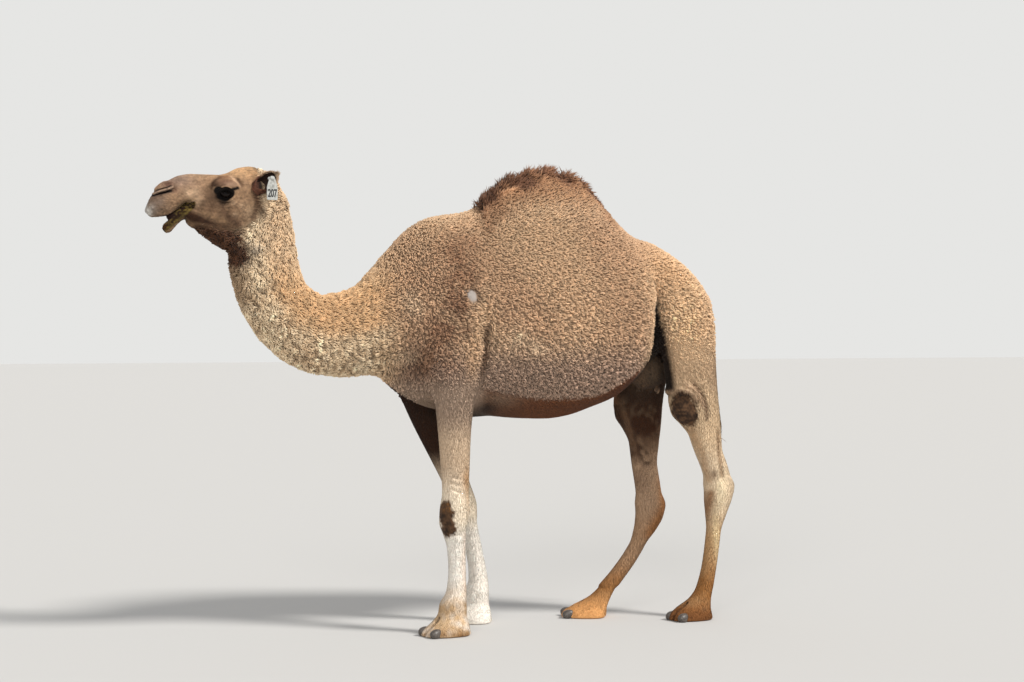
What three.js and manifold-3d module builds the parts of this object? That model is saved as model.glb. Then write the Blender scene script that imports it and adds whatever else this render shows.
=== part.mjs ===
// A standing dromedary camel cow at life size, as a still museum model, with a tag in her left ear.
// Millimetres. +X runs towards the tail, +Y towards the animal's right side, +Z up. The soles are at Z = 0.
// Every form is a loft through cross sections. Neighbours are cut back from each other by a thin gap.
import * as THREE from "three";
import { LoftGeometry } from "three/addons/geometries/LoftGeometry.js";
import { mergeVertices } from "three/addons/utils/BufferGeometryUtils.js";
import Module from "manifold-3d";

const wasm = await Module();
wasm.setup();

// ---------------------------------------------------------------- driving dimensions

const GAP = 0.5; // clear space kept between touching pieces
const TRUNK_SIDES = 20; // points round each section
const NECK_SIDES = 14;
const HEAD_SIDES = 16;
const JAW_SIDES = 10;
const BALL_SIDES = 12;
const LEG_SIDES = 10;
const TUBE_STATIONS = { neck: 18, jaw: 11, tail: 12 };
// Exponents under 1 make a section fuller than an ellipse.
const FULLNESS = { belly: 0.92, tube: 0.94, leg: 0.92 };
const CROWDING = 0.6; // how much of a form's stations gather towards its ends, from 0 to 1

// Cuts between the lengths of the body, as distances along X or heights.
const CHEST_END = -165;
const BARREL_END = 615;
const HUMP_FOOT = 1800;
const NECK_BEND = -885; // where the lowest length of the neck ends, along X
const NECK_TOP_FOOT = 1560; // and the height where its top length begins
const TAIL_TUFT_TOP = 1010;

const EYE = { x: -1319, y: 82, z: 1911, radius: 24 };
const EAR = {
  root: [-1192, 84, 1922], length: 124, wide: 46, deep: 30, wall: 8, turn: 0.35, spread: 0.2, lean: 0.85,
  taper: 1.12, // how far the leaf reaches past its half length
  open: 0.55, // how far the hollow lies towards the open side, in depths
};
const TAG = {
  at: [-1131, -134, 1940], turn: 0.2, wide: 50, top: 18, tall: 56, neck: 46, thick: 2.5,
  button: 9, boss: 4.5, stud: 3, reach: 40,
};

// The trunk's side outline and widths: heights and half widths at distances along X.
const TRUNK = {
  top: [
    [-660, 1560], [-600, 1660], [-520, 1754], [-462, 1801], [-390, 1832], [-236, 1858], [-188, 1872],
    [-130, 1945], [-78, 1992], [10, 2034], [140, 2066], [300, 2036], [406, 1930], [508, 1818], [560, 1772],
    [605, 1750], [660, 1740], [730, 1704], [820, 1646], [905, 1560], [968, 1470],
  ],
  bottom: [
    [-660, 1190], [-600, 1112], [-521, 1046], [-400, 988], [-200, 958], [30, 934], [155, 930],
    [255, 943], [343, 972], [470, 1018], [560, 1082], [640, 1165], [730, 1250], [860, 1330], [968, 1410],
  ],
  half: [
    [-660, 95], [-600, 140], [-520, 182], [-400, 222], [-300, 238], [-150, 255], [0, 293], [150, 318],
    [300, 322], [420, 308], [520, 286], [590, 248], [700, 205], [800, 186], [880, 152], [935, 102], [968, 62],
  ],
  widest: [
    [-660, 1370], [-400, 1400], [-150, 1370], [150, 1330], [400, 1350], [600, 1450], [800, 1490], [968, 1440],
  ],
  crest: [
    [-660, 1], [-450, 1.05], [-250, 1.2], [-60, 1.35], [120, 1.4],
    [350, 1.35], [560, 1.2], [760, 1.1], [968, 1],
  ],
  stations: 24,
};

// Muscles and hollows that raise or sink both flanks: centre, spread along X and Z, and height.
const TRUNK_SWELLS = [
  { x: -400, z: 1490, rx: 110, rz: 150, by: 16 }, // shoulder blade
  { x: -265, z: 1660, rx: 70, rz: 90, by: 10 }, // muscle over the withers
  { x: 690, z: 1655, rx: 55, rz: 45, by: 14 }, // hip bone
  { x: 642, z: 1350, rx: 42, rz: 170, by: -62 }, // fold between the barrel and the thigh
];

// The neck's middle line with the section's half depth and half width at each point.
const NECK = [
  { x: -500, z: 1400, deep: 250, wide: 175 },
  { x: -600, z: 1365, deep: 212, wide: 166 },
  { x: -660, z: 1342, deep: 196, wide: 155 },
  { x: -712, z: 1326, deep: 190, wide: 144 },
  { x: -794, z: 1312, deep: 184, wide: 130 },
  { x: -884, z: 1313, deep: 173, wide: 117 },
  { x: -968, z: 1342, deep: 163, wide: 108 },
  { x: -1035, z: 1395, deep: 156, wide: 102 },
  { x: -1088, z: 1462, deep: 148, wide: 98 },
  { x: -1123, z: 1545, deep: 147, wide: 95 },
  { x: -1142, z: 1640, deep: 146, wide: 92 },
  { x: -1150, z: 1740, deep: 142, wide: 89 },
  { x: -1140, z: 1835, deep: 118, wide: 82 },
  { x: -1122, z: 1905, deep: 80, wide: 64 },
];

// The upper head, from the front of the nose to the poll.
const HEAD = {
  top: [
    [-1643, 1846], [-1630, 1880], [-1612, 1910], [-1590, 1936], [-1548, 1966], [-1503, 1988], [-1450, 1996],
    [-1340, 1995], [-1305, 2002], [-1250, 2027], [-1205, 2034], [-1150, 2024], [-1095, 1985], [-1052, 1915],
  ],
  bottom: [
    [-1643, 1830], [-1620, 1809], [-1572, 1811], [-1542, 1821], [-1510, 1842], [-1478, 1868], [-1420, 1830],
    [-1340, 1775], [-1240, 1740], [-1150, 1745], [-1090, 1780], [-1052, 1850],
  ],
  half: [
    [-1643, 20], [-1628, 40], [-1600, 53], [-1550, 60], [-1490, 60], [-1440, 65], [-1385, 80], [-1335, 98],
    [-1300, 103], [-1250, 100], [-1180, 92], [-1100, 76], [-1052, 46],
  ],
  widest: [
    [-1643, 1838], [-1600, 1862], [-1500, 1884], [-1400, 1892], [-1300, 1915], [-1180, 1900], [-1052, 1882],
  ],
  crest: [[-1643, 1], [-1500, 0.9], [-1340, 0.8], [-1250, 0.9], [-1052, 1]],
  stations: 20,
};
const HEAD_SWELLS = [
  { x: -1312, z: 1966, rx: 42, rz: 20, by: 14 }, // brow over the eye
  { x: -1322, z: 1912, rx: 30, rz: 20, by: -8 }, // eye socket
  { x: -1400, z: 1905, rx: 36, rz: 34, by: -9 }, // hollow before the eye
  { x: -1300, z: 1852, rx: 60, rz: 28, by: 7 }, // cheek bone
  { x: -1560, z: 1936, rx: 34, rz: 18, by: 8 }, // wing of the nostril
  { x: -1590, z: 1838, rx: 40, rz: 22, by: 6 }, // upper lip
  { x: -1225, z: 1978, rx: 45, rz: 28, by: -8 }, // temple
];

// The lower jaw, from the tip of the drooping lip back to its angle.
const JAW = [
  { x: -1566, z: 1754, deep: 13, wide: 20 },
  { x: -1552, z: 1765, deep: 22, wide: 30 },
  { x: -1516, z: 1802, deep: 20, wide: 37 },
  { x: -1474, z: 1830, deep: 34, wide: 46 },
  { x: -1430, z: 1816, deep: 52, wide: 54 },
  { x: -1354, z: 1778, deep: 60, wide: 64 },
  { x: -1285, z: 1752, deep: 76, wide: 72 },
  { x: -1215, z: 1748, deep: 60, wide: 66 },
];

// Legs: half depth ahead of and behind the bones, and half width, at stations counted in bones from the top.
const FORE_BUILD = [
  { at: 0, ahead: 55, behind: 35, half: 20 },
  { at: 0.12, ahead: 98, behind: 70, half: 56 },
  { at: 0.3, ahead: 124, behind: 96, half: 78 },
  { at: 0.65, ahead: 132, behind: 118, half: 88 },
  { at: 0.92, ahead: 130, behind: 128, half: 84 },
  { at: 1.06, ahead: 113, behind: 97, half: 76 },
  { at: 1.18, ahead: 91, behind: 83, half: 68 },
  { at: 1.4, ahead: 77, behind: 70, half: 59 },
  { at: 1.63, ahead: 64, behind: 66, half: 54 },
  { at: 1.82, ahead: 56, behind: 63, half: 52 },
  { at: 1.97, ahead: 66, behind: 66, half: 62 },
  { at: 2.08, ahead: 68, behind: 58, half: 62 },
  { at: 2.18, ahead: 53, behind: 49, half: 54 },
  { at: 2.32, ahead: 33, behind: 50, half: 41 },
  { at: 2.55, ahead: 26, behind: 53, half: 35 },
  { at: 2.78, ahead: 34, behind: 55, half: 41 },
  { at: 3.0, ahead: 64, behind: 54, half: 58 },
  { at: 3.26, ahead: 72, behind: 55, half: 62 },
  { at: 3.56, ahead: 105, behind: 65, half: 76 },
  { at: 3.82, ahead: 142, behind: 72, half: 88 },
  { at: 3.95, ahead: 150, behind: 76, half: 91 },
  { at: 4, ahead: 145, behind: 72, half: 87 },
];
const HIND_BUILD = [
  { at: 0, ahead: 60, behind: 60, half: 20 },
  { at: 0.08, ahead: 102, behind: 102, half: 58 },
  { at: 0.24, ahead: 134, behind: 128, half: 84 },
  { at: 0.46, ahead: 126, behind: 126, half: 92 },
  { at: 0.7, ahead: 123, behind: 121, half: 86 },
  { at: 0.9, ahead: 119, behind: 120, half: 78 },
  { at: 1.0, ahead: 112, behind: 119, half: 74 },
  { at: 1.12, ahead: 72, behind: 112, half: 68 },
  { at: 1.26, ahead: 46, behind: 97, half: 59 },
  { at: 1.5, ahead: 50, behind: 72, half: 50 },
  { at: 1.76, ahead: 52, behind: 73, half: 46 },
  { at: 1.9, ahead: 62, behind: 88, half: 51 },
  { at: 2.05, ahead: 60, behind: 74, half: 55 },
  { at: 2.2, ahead: 49, behind: 50, half: 49 },
  { at: 2.35, ahead: 36, behind: 31, half: 39 },
  { at: 2.65, ahead: 33, behind: 36, half: 34 },
  { at: 2.88, ahead: 39, behind: 36, half: 41 },
  { at: 3.14, ahead: 62, behind: 34, half: 50 },
  { at: 3.5, ahead: 126, behind: 39, half: 66 },
  { at: 3.78, ahead: 152, behind: 52, half: 78 },
  { at: 3.95, ahead: 152, behind: 60, half: 82 },
  { at: 4, ahead: 146, behind: 57, half: 78 },
];

// The ends of the bones in each leg's pose, [x, y, z] from the shoulder or hip down to the sole.
const LEGS = [
  {
    name: "fore_left",
    build: FORE_BUILD,
    joints: [[-350, -165, 1450], [-322, -162, 1100], [-325, -158, 530], [-326, -155, 135], [-335, -155, 0]],
  },
  {
    name: "fore_right",
    build: FORE_BUILD,
    joints: [[-405, 160, 1440], [-388, 154, 1090], [-190, 142, 535], [-120, 137, 135], [-127, 137, 0]],
  },
  {
    name: "hind_left",
    build: HIND_BUILD,
    joints: [[806, -100, 1510], [843, -140, 950], [962, -128, 575], [900, -122, 125], [862, -122, 0]],
  },
  {
    name: "hind_right",
    build: HIND_BUILD,
    joints: [[770, 100, 1500], [676, 130, 925], [722, 112, 475], [505, 102, 122], [432, 100, 0]],
  },
];
const BONES = ["upper", "middle", "lower"];
const KNEE_DROP = 72; // how far under the knee or hock a leg is divided
const FETLOCK_RISE = 32; // and over the fetlock
const TOE_OUT = 0.26; // how far each foot turns outwards, in radians
const FETLOCK = 3; // the station of the lowest joint
const FOOT_FROM = 2.9; // from here down the sections stay as deep as they are given
const NEARBY = 0.1; // the step over which a bone's slope is taken
const CLEFT = { length: 96, mouth: 19, height: 70, sunk: 5 }; // the split between the two toes
const NAIL = { back: 37, aside: 0.52, height: 24, radii: [27, 18, 17], tilt: 0.35 };

const TAIL = [
  { x: 880, z: 1505, deep: 40, wide: 38 },
  { x: 940, z: 1462, deep: 36, wide: 33 },
  { x: 980, z: 1380, deep: 27, wide: 27 },
  { x: 994, z: 1250, deep: 22, wide: 24 },
  { x: 996, z: 1100, deep: 21, wide: 22 },
  { x: 1000, z: 990, deep: 28, wide: 30 },
  { x: 1014, z: 900, deep: 25, wide: 27 },
  { x: 1030, z: 838, deep: 8, wide: 10 },
];
const UDDER = { at: [668, 0, 1142], radii: [96, 84, 82] };
const TEATS = { along: [636, 702], aside: 34, z: 1062, radii: [13, 13, 24] };
const CHEST_PAD = { at: [-215, 0, 985], radii: [125, 92, 42] };

// ---------------------------------------------------------------- materials

const material = (color, roughness) => new THREE.MeshStandardMaterial({ color, roughness, metalness: 0 });
const FLEECE = material(0xb08a60, 0.95);
const HUMP_FLEECE = material(0x8e6a48, 0.95);
const SHORT_COAT = material(0xb59374, 0.9);
const PALE_COAT = material(0xcdb595, 0.9);
const PAD_SKIN = material(0x3d332b, 0.8);
const HORN = material(0x4a4542, 0.5);
const EYE_DARK = material(0x120d0a, 0.1);
const TAG_PLASTIC = material(0xdfe2de, 0.5);

// ---------------------------------------------------------------- shape tools

// A smooth curve through points [at, value] that never overshoots them (a monotone cubic).
function through(points) {
  const last = points.length - 1;
  const slope = points.slice(1).map((p, i) => (p[1] - points[i][1]) / (p[0] - points[i][0]));
  const tangent = points.map((_, i) => {
    if (i === 0) return slope[0];
    if (i === last) return slope[last - 1];
    const product = slope[i - 1] * slope[i];
    return product <= 0 ? 0 : (2 * product) / (slope[i - 1] + slope[i]);
  });
  return (at) => {
    const place = THREE.MathUtils.clamp(at, points[0][0], points[last][0]);
    const i = Math.max(1, points.findIndex((p) => p[0] >= place)) - 1;
    const span = points[i + 1][0] - points[i][0];
    const t = (place - points[i][0]) / span;
    const rise = t * t * (3 - 2 * t);
    const bend = t * (1 - t) * span * ((1 - t) * tangent[i] - t * tangent[i + 1]);
    return points[i][1] * (1 - rise) + points[i + 1][1] * rise + bend;
  };
}

const steps = (from, to, count) =>
  Array.from({ length: count }, (_, i) => from + ((to - from) * i) / (count - 1));
const turns = (sides) => steps(0, 2 * Math.PI * (1 - 1 / sides), sides);
const power = (value, exponent) => Math.sign(value) * Math.abs(value) ** exponent;
const loft = (sections) => new LoftGeometry(sections, { capStart: true, capEnd: true });

// Stations that crowd together towards both ends, where a form rounds off.
const crowded = (from, to, count) =>
  steps(0, Math.PI, count).map((a) => {
    const gathered = (1 - Math.cos(a)) / 2;
    return from + (to - from) * (CROWDING * gathered + ((1 - CROWDING) * a) / Math.PI);
  });

// A form with like sides: sections square to X between a top and a bottom line, as wide as `half` at the
// height `widest`, and drawn in towards the top by the exponent `crest`.
function relief(form, swells, sides) {
  const lines = [form.top, form.bottom, form.half, form.widest, form.crest];
  const [top, bottom, half, widest, crest] = lines.map(through);
  const [from, to] = [form.top[0][0], form.top[form.top.length - 1][0]];
  const section = (x) =>
    turns(sides).map((angle) => {
      const [across, up] = [Math.cos(angle), Math.sin(angle)];
      const z = widest(x) + up * (up > 0 ? top(x) - widest(x) : widest(x) - bottom(x));
      const swell = (sum, s) => sum + s.by * Math.exp(-(((x - s.x) / s.rx) ** 2) - ((z - s.z) / s.rz) ** 2);
      const flat = half(x) * power(across, up > 0 ? crest(x) : FULLNESS.belly);
      return new THREE.Vector3(x, flat + across * swells.reduce(swell, 0), z);
    });
  return loft(crowded(from, to, form.stations).map(section));
}

// A limb bent in the XZ plane: sections square to the curve through `line`.
function bent(line, sides, count) {
  const path = new THREE.CatmullRomCurve3(line.map((p) => new THREE.Vector3(p.x, 0, p.z)));
  const [deep, wide] = ["deep", "wide"].map((key) => through(line.map((p, i) => [i, p[key]])));
  const section = (t) => {
    const along = path.getTangent(t);
    const up = new THREE.Vector3(-along.z, 0, along.x).normalize();
    const at = t * (line.length - 1);
    return turns(sides).map((angle) => {
      const point = path.getPoint(t).addScaledVector(up, deep(at) * power(Math.sin(angle), FULLNESS.tube));
      return point.setY(wide(at) * power(Math.cos(angle), FULLNESS.tube));
    });
  };
  return loft(steps(0, 1, count).map(section));
}

const toeOut = (joints) => -Math.sign(joints[4][1]) * TOE_OUT;

// A leg: level sections about a smooth line through its joints, deepened where the bones slope, and turned
// outwards under the fetlock.
function leg({ build, joints }) {
  const [x, y, z] = [0, 1, 2].map((axis) => through(joints.map((joint, i) => [i, joint[axis]])));
  const section = ({ at, ahead, behind, half }) => {
    const slope = at > FOOT_FROM ? 0 : (x(at + NEARBY) - x(at - NEARBY)) / (z(at + NEARBY) - z(at - NEARBY));
    const stretch = Math.hypot(1, slope || 0);
    const turned = new THREE.Matrix4().makeRotationZ(toeOut(joints) * Math.max(0, at - FETLOCK));
    return turns(LEG_SIDES).map((angle) => {
      const reach = (Math.cos(angle) > 0 ? behind : ahead) * stretch;
      const along = reach * power(Math.cos(angle), FULLNESS.leg);
      const across = half * power(Math.sin(angle), FULLNESS.leg);
      const point = new THREE.Vector3(along, across, 0).applyMatrix4(turned);
      return point.add(new THREE.Vector3(x(at), y(at), z(at)));
    });
  };
  return loft(build.map(section).reverse());
}

function ellipsoid(at, radii, sides = BALL_SIDES) {
  return new THREE.SphereGeometry(1, sides, Math.round(sides * 0.6)).rotateX(Math.PI / 2)
    .scale(...radii).translate(...at);
}

// ---------------------------------------------------------------- solids

// The geometry's corners and triangles, each corner met once, moved outwards by `grow`, as a closed body.
function solid(geometry, grow = 0) {
  const bare = new THREE.BufferGeometry();
  bare.setAttribute("position", geometry.getAttribute("position").clone());
  bare.setIndex(geometry.index);
  const merged = mergeVertices(bare, 1e-3);
  const corners = Array.from(merged.index.array);
  const count = corners.length / 3;
  const triples = steps(0, count - 1, count).map((i) => corners.slice(3 * i, 3 * i + 3));
  const triVerts = triples.filter((t) => new Set(t).size === 3).flat();
  merged.setIndex(triVerts);
  merged.computeVertexNormals();
  const normal = merged.getAttribute("normal").array;
  const vertProperties = merged.getAttribute("position").array.map((value, i) => value + grow * normal[i]);
  const mesh = new wasm.Mesh({ numProp: 3, vertProperties, triVerts: new Uint32Array(triVerts) });
  return new wasm.Manifold(mesh);
}

const joined = (geometries, grow) => geometries.map((g) => solid(g, grow)).reduce((a, b) => a.add(b));

// Splits a body at a plane: the piece ahead of it along `normal`, and the piece behind.
const split = (body, normal, offset) => [
  body.trimByPlane(normal, offset + GAP / 2),
  body.trimByPlane(normal.map((n) => -n), -offset + GAP / 2),
];

const model = new THREE.Group();

// Adds the largest piece of a body to the model as a named mesh.
function place(name, body, finish) {
  const whole = body.decompose().sort((a, b) => b.volume() - a.volume())[0];
  const { vertProperties, triVerts } = whole.getMesh();
  const geometry = new THREE.BufferGeometry();
  geometry.setAttribute("position", new THREE.BufferAttribute(new Float32Array(vertProperties), 3));
  geometry.setIndex(new THREE.BufferAttribute(new Uint32Array(triVerts), 1));
  geometry.computeVertexNormals();
  const mesh = new THREE.Mesh(geometry, finish);
  mesh.name = name;
  model.add(mesh);
}

// ---------------------------------------------------------------- feet and udder

// Brings a form made about the middle of a sole, toes towards -X, to a leg's foot.
function atFoot(geometry, { joints }) {
  return geometry.rotateZ(toeOut(joints)).translate(...joints[4]);
}

const rim = ({ build }) => build[build.length - 2];

// The wedge of air between the toes, open to the front. A three-sided cylinder of radius 1 is 1.5 long and
// the square root of 3 wide, and its middle is a third of its length from its wide end.
function cleft(one) {
  const wedge = new THREE.CylinderGeometry(1, 1, CLEFT.height, 3).rotateX(Math.PI / 2).rotateZ(Math.PI / 2)
    .scale(CLEFT.length / 1.5, CLEFT.mouth / Math.sqrt(3), 1)
    .translate(CLEFT.length / 3 - rim(one).ahead, 0, CLEFT.height / 2 - CLEFT.sunk);
  return solid(atFoot(wedge, one));
}

function nail(one, side, grow) {
  const horn = ellipsoid([0, 0, 0], NAIL.radii, 8).rotateY(-NAIL.tilt)
    .translate(NAIL.back - rim(one).ahead, side * NAIL.aside * rim(one).half, NAIL.height);
  return solid(atFoot(horn, one), grow);
}

function udderForms() {
  const teats = TEATS.along.flatMap((x) => [-1, 1].map((side) => [x, side * TEATS.aside, TEATS.z]));
  return [ellipsoid(UDDER.at, UDDER.radii, 10), ...teats.map((at) => ellipsoid(at, TEATS.radii, 6))];
}

// ---------------------------------------------------------------- ears and tag

// An ear: a leaf-shaped shell with a hollow that opens outwards and to the front, leaning back from its root.
function ear(side) {
  const rise = EAR.length / 2;
  const reach = rise * EAR.taper;
  const leaf = ellipsoid([0, 0, rise], [EAR.wide, EAR.deep, reach], 10);
  const middle = [0, side * EAR.deep * EAR.open, rise + EAR.wall];
  const hollow = ellipsoid(middle, [EAR.wide - EAR.wall, EAR.deep, reach - EAR.wall], 10);
  const [x, y, z] = EAR.root;
  const pose = (form) =>
    form.rotateZ(side * EAR.turn).rotateX(-side * EAR.spread).rotateY(EAR.lean).translate(x, side * y, z);
  return solid(pose(leaf)).subtract(solid(pose(hollow)));
}

// The tag: a plate with a narrow top, a round button on it and a stud that goes back through the ear.
function tagForms() {
  const [half, narrow, low] = [TAG.wide / 2, TAG.top / 2, -TAG.tall];
  const corners = [[-half, low], [half, low], [half, 0], [narrow, TAG.neck], [-narrow, TAG.neck], [-half, 0]];
  const outline = new THREE.Shape(corners.map(([x, z]) => new THREE.Vector2(x, z)));
  const flat = { depth: TAG.thick, bevelEnabled: false };
  const plate = new THREE.ExtrudeGeometry(outline, flat).rotateX(Math.PI / 2);
  const level = TAG.neck - TAG.button;
  const disc = (radius, from, to) =>
    new THREE.CylinderGeometry(radius, radius, to - from, 12).translate(0, (from + to) / 2, level);
  const button = disc(TAG.button, -TAG.thick - TAG.boss, -TAG.thick / 2);
  const stud = disc(TAG.stud, -TAG.thick / 2, TAG.reach);
  return [plate, button, stud].map((form) => form.rotateZ(TAG.turn).translate(...TAG.at));
}

// ---------------------------------------------------------------- the animal

const trunkForms = [relief(TRUNK, TRUNK_SWELLS, TRUNK_SIDES)];
const neckForms = [bent(NECK, NECK_SIDES, TUBE_STATIONS.neck)];
const headForms = [relief(HEAD, HEAD_SWELLS, HEAD_SIDES)];
const jawForms = [bent(JAW, JAW_SIDES, TUBE_STATIONS.jaw)];

const eye = (side, grow) => solid(ellipsoid([EYE.x, side * EYE.y, EYE.z], Array(3).fill(EYE.radius)), grow);
place("eye_left", eye(-1), EYE_DARK);
place("eye_right", eye(1), EYE_DARK);
place("head", joined(headForms).subtract(eye(-1, GAP)).subtract(eye(1, GAP)), SHORT_COAT);

const headSpace = joined(headForms, GAP);
place("jaw", joined(jawForms).subtract(headSpace), SHORT_COAT);
place("ear_tag", joined(tagForms()), TAG_PLASTIC);
place("ear_left", ear(-1).subtract(headSpace).subtract(joined(tagForms(), GAP)), SHORT_COAT);
place("ear_right", ear(1).subtract(headSpace), SHORT_COAT);

const skullSpace = headSpace.add(joined(jawForms, GAP));
const trunkSpace = joined(trunkForms, GAP);
const neck = joined(neckForms).subtract(skullSpace).subtract(trunkSpace);
const [neckLower, neckRest] = split(neck, [1, 0, 0], NECK_BEND);
const [neckUpper, neckMiddle] = split(neckRest, [0, 0, 1], NECK_TOP_FOOT);
place("neck_upper", neckUpper, FLEECE);
place("neck_middle", neckMiddle, FLEECE);
place("neck_lower", neckLower, FLEECE);

const trunk = joined(trunkForms);
const [behindChest, chest] = split(trunk, [1, 0, 0], CHEST_END);
const [rump, middle] = split(behindChest, [1, 0, 0], BARREL_END);
const [hump, barrel] = split(middle, [0, 0, 1], HUMP_FOOT);
place("chest", chest, FLEECE);
place("barrel", barrel, FLEECE);
place("hump", hump, HUMP_FLEECE);
place("rump", rump, FLEECE);

place("chest_pad", solid(ellipsoid(CHEST_PAD.at, CHEST_PAD.radii)).subtract(trunkSpace), PAD_SKIN);

let thighSpace = trunkSpace;
for (const one of LEGS) {
  let rest = solid(leg(one)).subtract(trunkSpace).subtract(cleft(one));
  if (one.build === HIND_BUILD) thighSpace = thighSpace.add(solid(leg(one), GAP));
  const heights = [one.joints[1][2], one.joints[2][2] - KNEE_DROP, one.joints[3][2] + FETLOCK_RISE];
  heights.forEach((height, i) => {
    const [over, under] = split(rest, [0, 0, 1], height);
    place(`${one.name}_${BONES[i]}`, over, SHORT_COAT);
    rest = under;
  });
  for (const side of [-1, 1]) {
    place(`${one.name}_nail_${side < 0 ? "left" : "right"}`, nail(one, side, 0), HORN);
    rest = rest.subtract(nail(one, side, GAP));
  }
  place(`${one.name}_foot`, rest, PALE_COAT);
}

place("udder", joined(udderForms()).subtract(thighSpace), SHORT_COAT);
const tail = solid(bent(TAIL, LEG_SIDES, TUBE_STATIONS.tail)).subtract(thighSpace);
const [dock, tuft] = split(tail, [0, 0, 1], TAIL_TUFT_TOP);
place("tail", dock, SHORT_COAT);
place("tail_tuft", tuft, HUMP_FLEECE);

// The model stands on Z = 0 with the middle of its plan over the origin.
const plan = new THREE.Box3().setFromObject(model);
model.position.set(-(plan.min.x + plan.max.x) / 2, -(plan.min.y + plan.max.y) / 2, -plan.min.z);

export default model;
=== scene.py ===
"""Looks for the dromedary: one skin under a curly fleece, with her eyes, nails, tag, floor and lights."""
import math
import bpy
import numpy as np
import openvdb as vdb
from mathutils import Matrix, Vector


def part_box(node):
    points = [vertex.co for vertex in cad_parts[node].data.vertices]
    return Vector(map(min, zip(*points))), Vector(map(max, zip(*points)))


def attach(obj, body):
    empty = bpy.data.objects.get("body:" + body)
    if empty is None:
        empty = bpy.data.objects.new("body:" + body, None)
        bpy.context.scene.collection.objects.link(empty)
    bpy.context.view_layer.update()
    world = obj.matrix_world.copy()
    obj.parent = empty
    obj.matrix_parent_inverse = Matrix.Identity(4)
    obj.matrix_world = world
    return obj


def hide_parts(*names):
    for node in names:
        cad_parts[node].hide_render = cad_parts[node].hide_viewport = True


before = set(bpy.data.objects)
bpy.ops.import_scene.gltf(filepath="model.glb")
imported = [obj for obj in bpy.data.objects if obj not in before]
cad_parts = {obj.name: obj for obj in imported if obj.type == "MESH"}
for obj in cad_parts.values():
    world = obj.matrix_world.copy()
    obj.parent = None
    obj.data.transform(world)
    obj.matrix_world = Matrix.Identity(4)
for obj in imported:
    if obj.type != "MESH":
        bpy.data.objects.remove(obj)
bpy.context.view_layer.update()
EYE_NODE = {side: np.array(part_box("eye_" + side)) for side in ("left", "right")}
EYE_AT = {side: EYE_NODE[side].mean(0) for side in EYE_NODE}
ALONG = float(EYE_AT["left"][0]) + 1.319  # the tables count X from a point over the forelegs

# ---------------------------------------------------------------- forms: sizes in millimetres

TRUNK = dict(
    top=[(-660, 1560), (-600, 1660), (-520, 1754), (-462, 1801), (-390, 1832), (-236, 1858), (-188, 1872),
         (-130, 1945), (-78, 1992), (10, 2034), (140, 2066), (300, 2036), (406, 1930), (508, 1818),
         (560, 1772), (605, 1750), (660, 1740), (730, 1704), (820, 1646), (905, 1560), (968, 1470)],
    bottom=[(-660, 1190), (-600, 1112), (-521, 1046), (-400, 988), (-200, 958), (30, 934), (155, 930),
            (255, 943), (343, 972), (470, 1018), (560, 1082), (640, 1165), (730, 1250), (860, 1330),
            (968, 1410)],
    half=[(-660, 95), (-600, 140), (-520, 182), (-400, 222), (-300, 238), (-150, 255), (0, 293), (150, 318),
          (300, 322), (420, 308), (520, 286), (590, 248), (700, 205), (800, 186), (880, 152), (935, 102),
          (968, 62)],
    widest=[(-660, 1370), (-400, 1400), (-150, 1370), (150, 1330), (400, 1350), (600, 1450), (800, 1490),
            (968, 1440)],
    crest=[(-660, 1), (-450, 1.05), (-250, 1.2), (-60, 1.35), (120, 1.4), (350, 1.35), (560, 1.2), (760, 1.1),
           (968, 1)],
)
# Swells and hollows of a form's sides: middle X, Z, reach along X, along Z, and how far out.
TRUNK_SWELLS = [(-400, 1490, 110, 150, 16), (-265, 1660, 70, 90, 10), (690, 1655, 55, 45, 14),
                (642, 1350, 42, 170, -62)]
HEAD = dict(
    top=[(-1643, 1846), (-1630, 1880), (-1612, 1910), (-1590, 1936), (-1548, 1966), (-1503, 1988),
         (-1450, 1996), (-1340, 1995), (-1305, 2002), (-1250, 2027), (-1205, 2034), (-1150, 2024),
         (-1095, 1985), (-1052, 1915)],
    bottom=[(-1643, 1830), (-1620, 1809), (-1572, 1811), (-1542, 1821), (-1510, 1842), (-1478, 1868),
            (-1420, 1830), (-1340, 1775), (-1240, 1740), (-1150, 1745), (-1090, 1780), (-1052, 1850)],
    half=[(-1643, 20), (-1628, 40), (-1600, 53), (-1550, 60), (-1490, 60), (-1440, 65), (-1385, 80),
          (-1335, 98),
          (-1300, 103), (-1250, 100), (-1180, 92), (-1100, 76), (-1052, 46)],
    widest=[(-1643, 1838), (-1600, 1862), (-1500, 1884), (-1400, 1892), (-1300, 1915), (-1180, 1900),
            (-1052, 1882)],
    crest=[(-1643, 1), (-1500, 0.9), (-1340, 0.8), (-1250, 0.9), (-1052, 1)],
)
HEAD_SWELLS = [(-1312, 1966, 42, 20, 14), (-1322, 1912, 30, 20, -8), (-1400, 1905, 36, 34, -9),
               (-1300, 1852, 60, 28, 7), (-1560, 1936, 34, 18, 8), (-1590, 1838, 40, 22, 6),
               (-1225, 1978, 45, 28, -8)]
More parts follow.
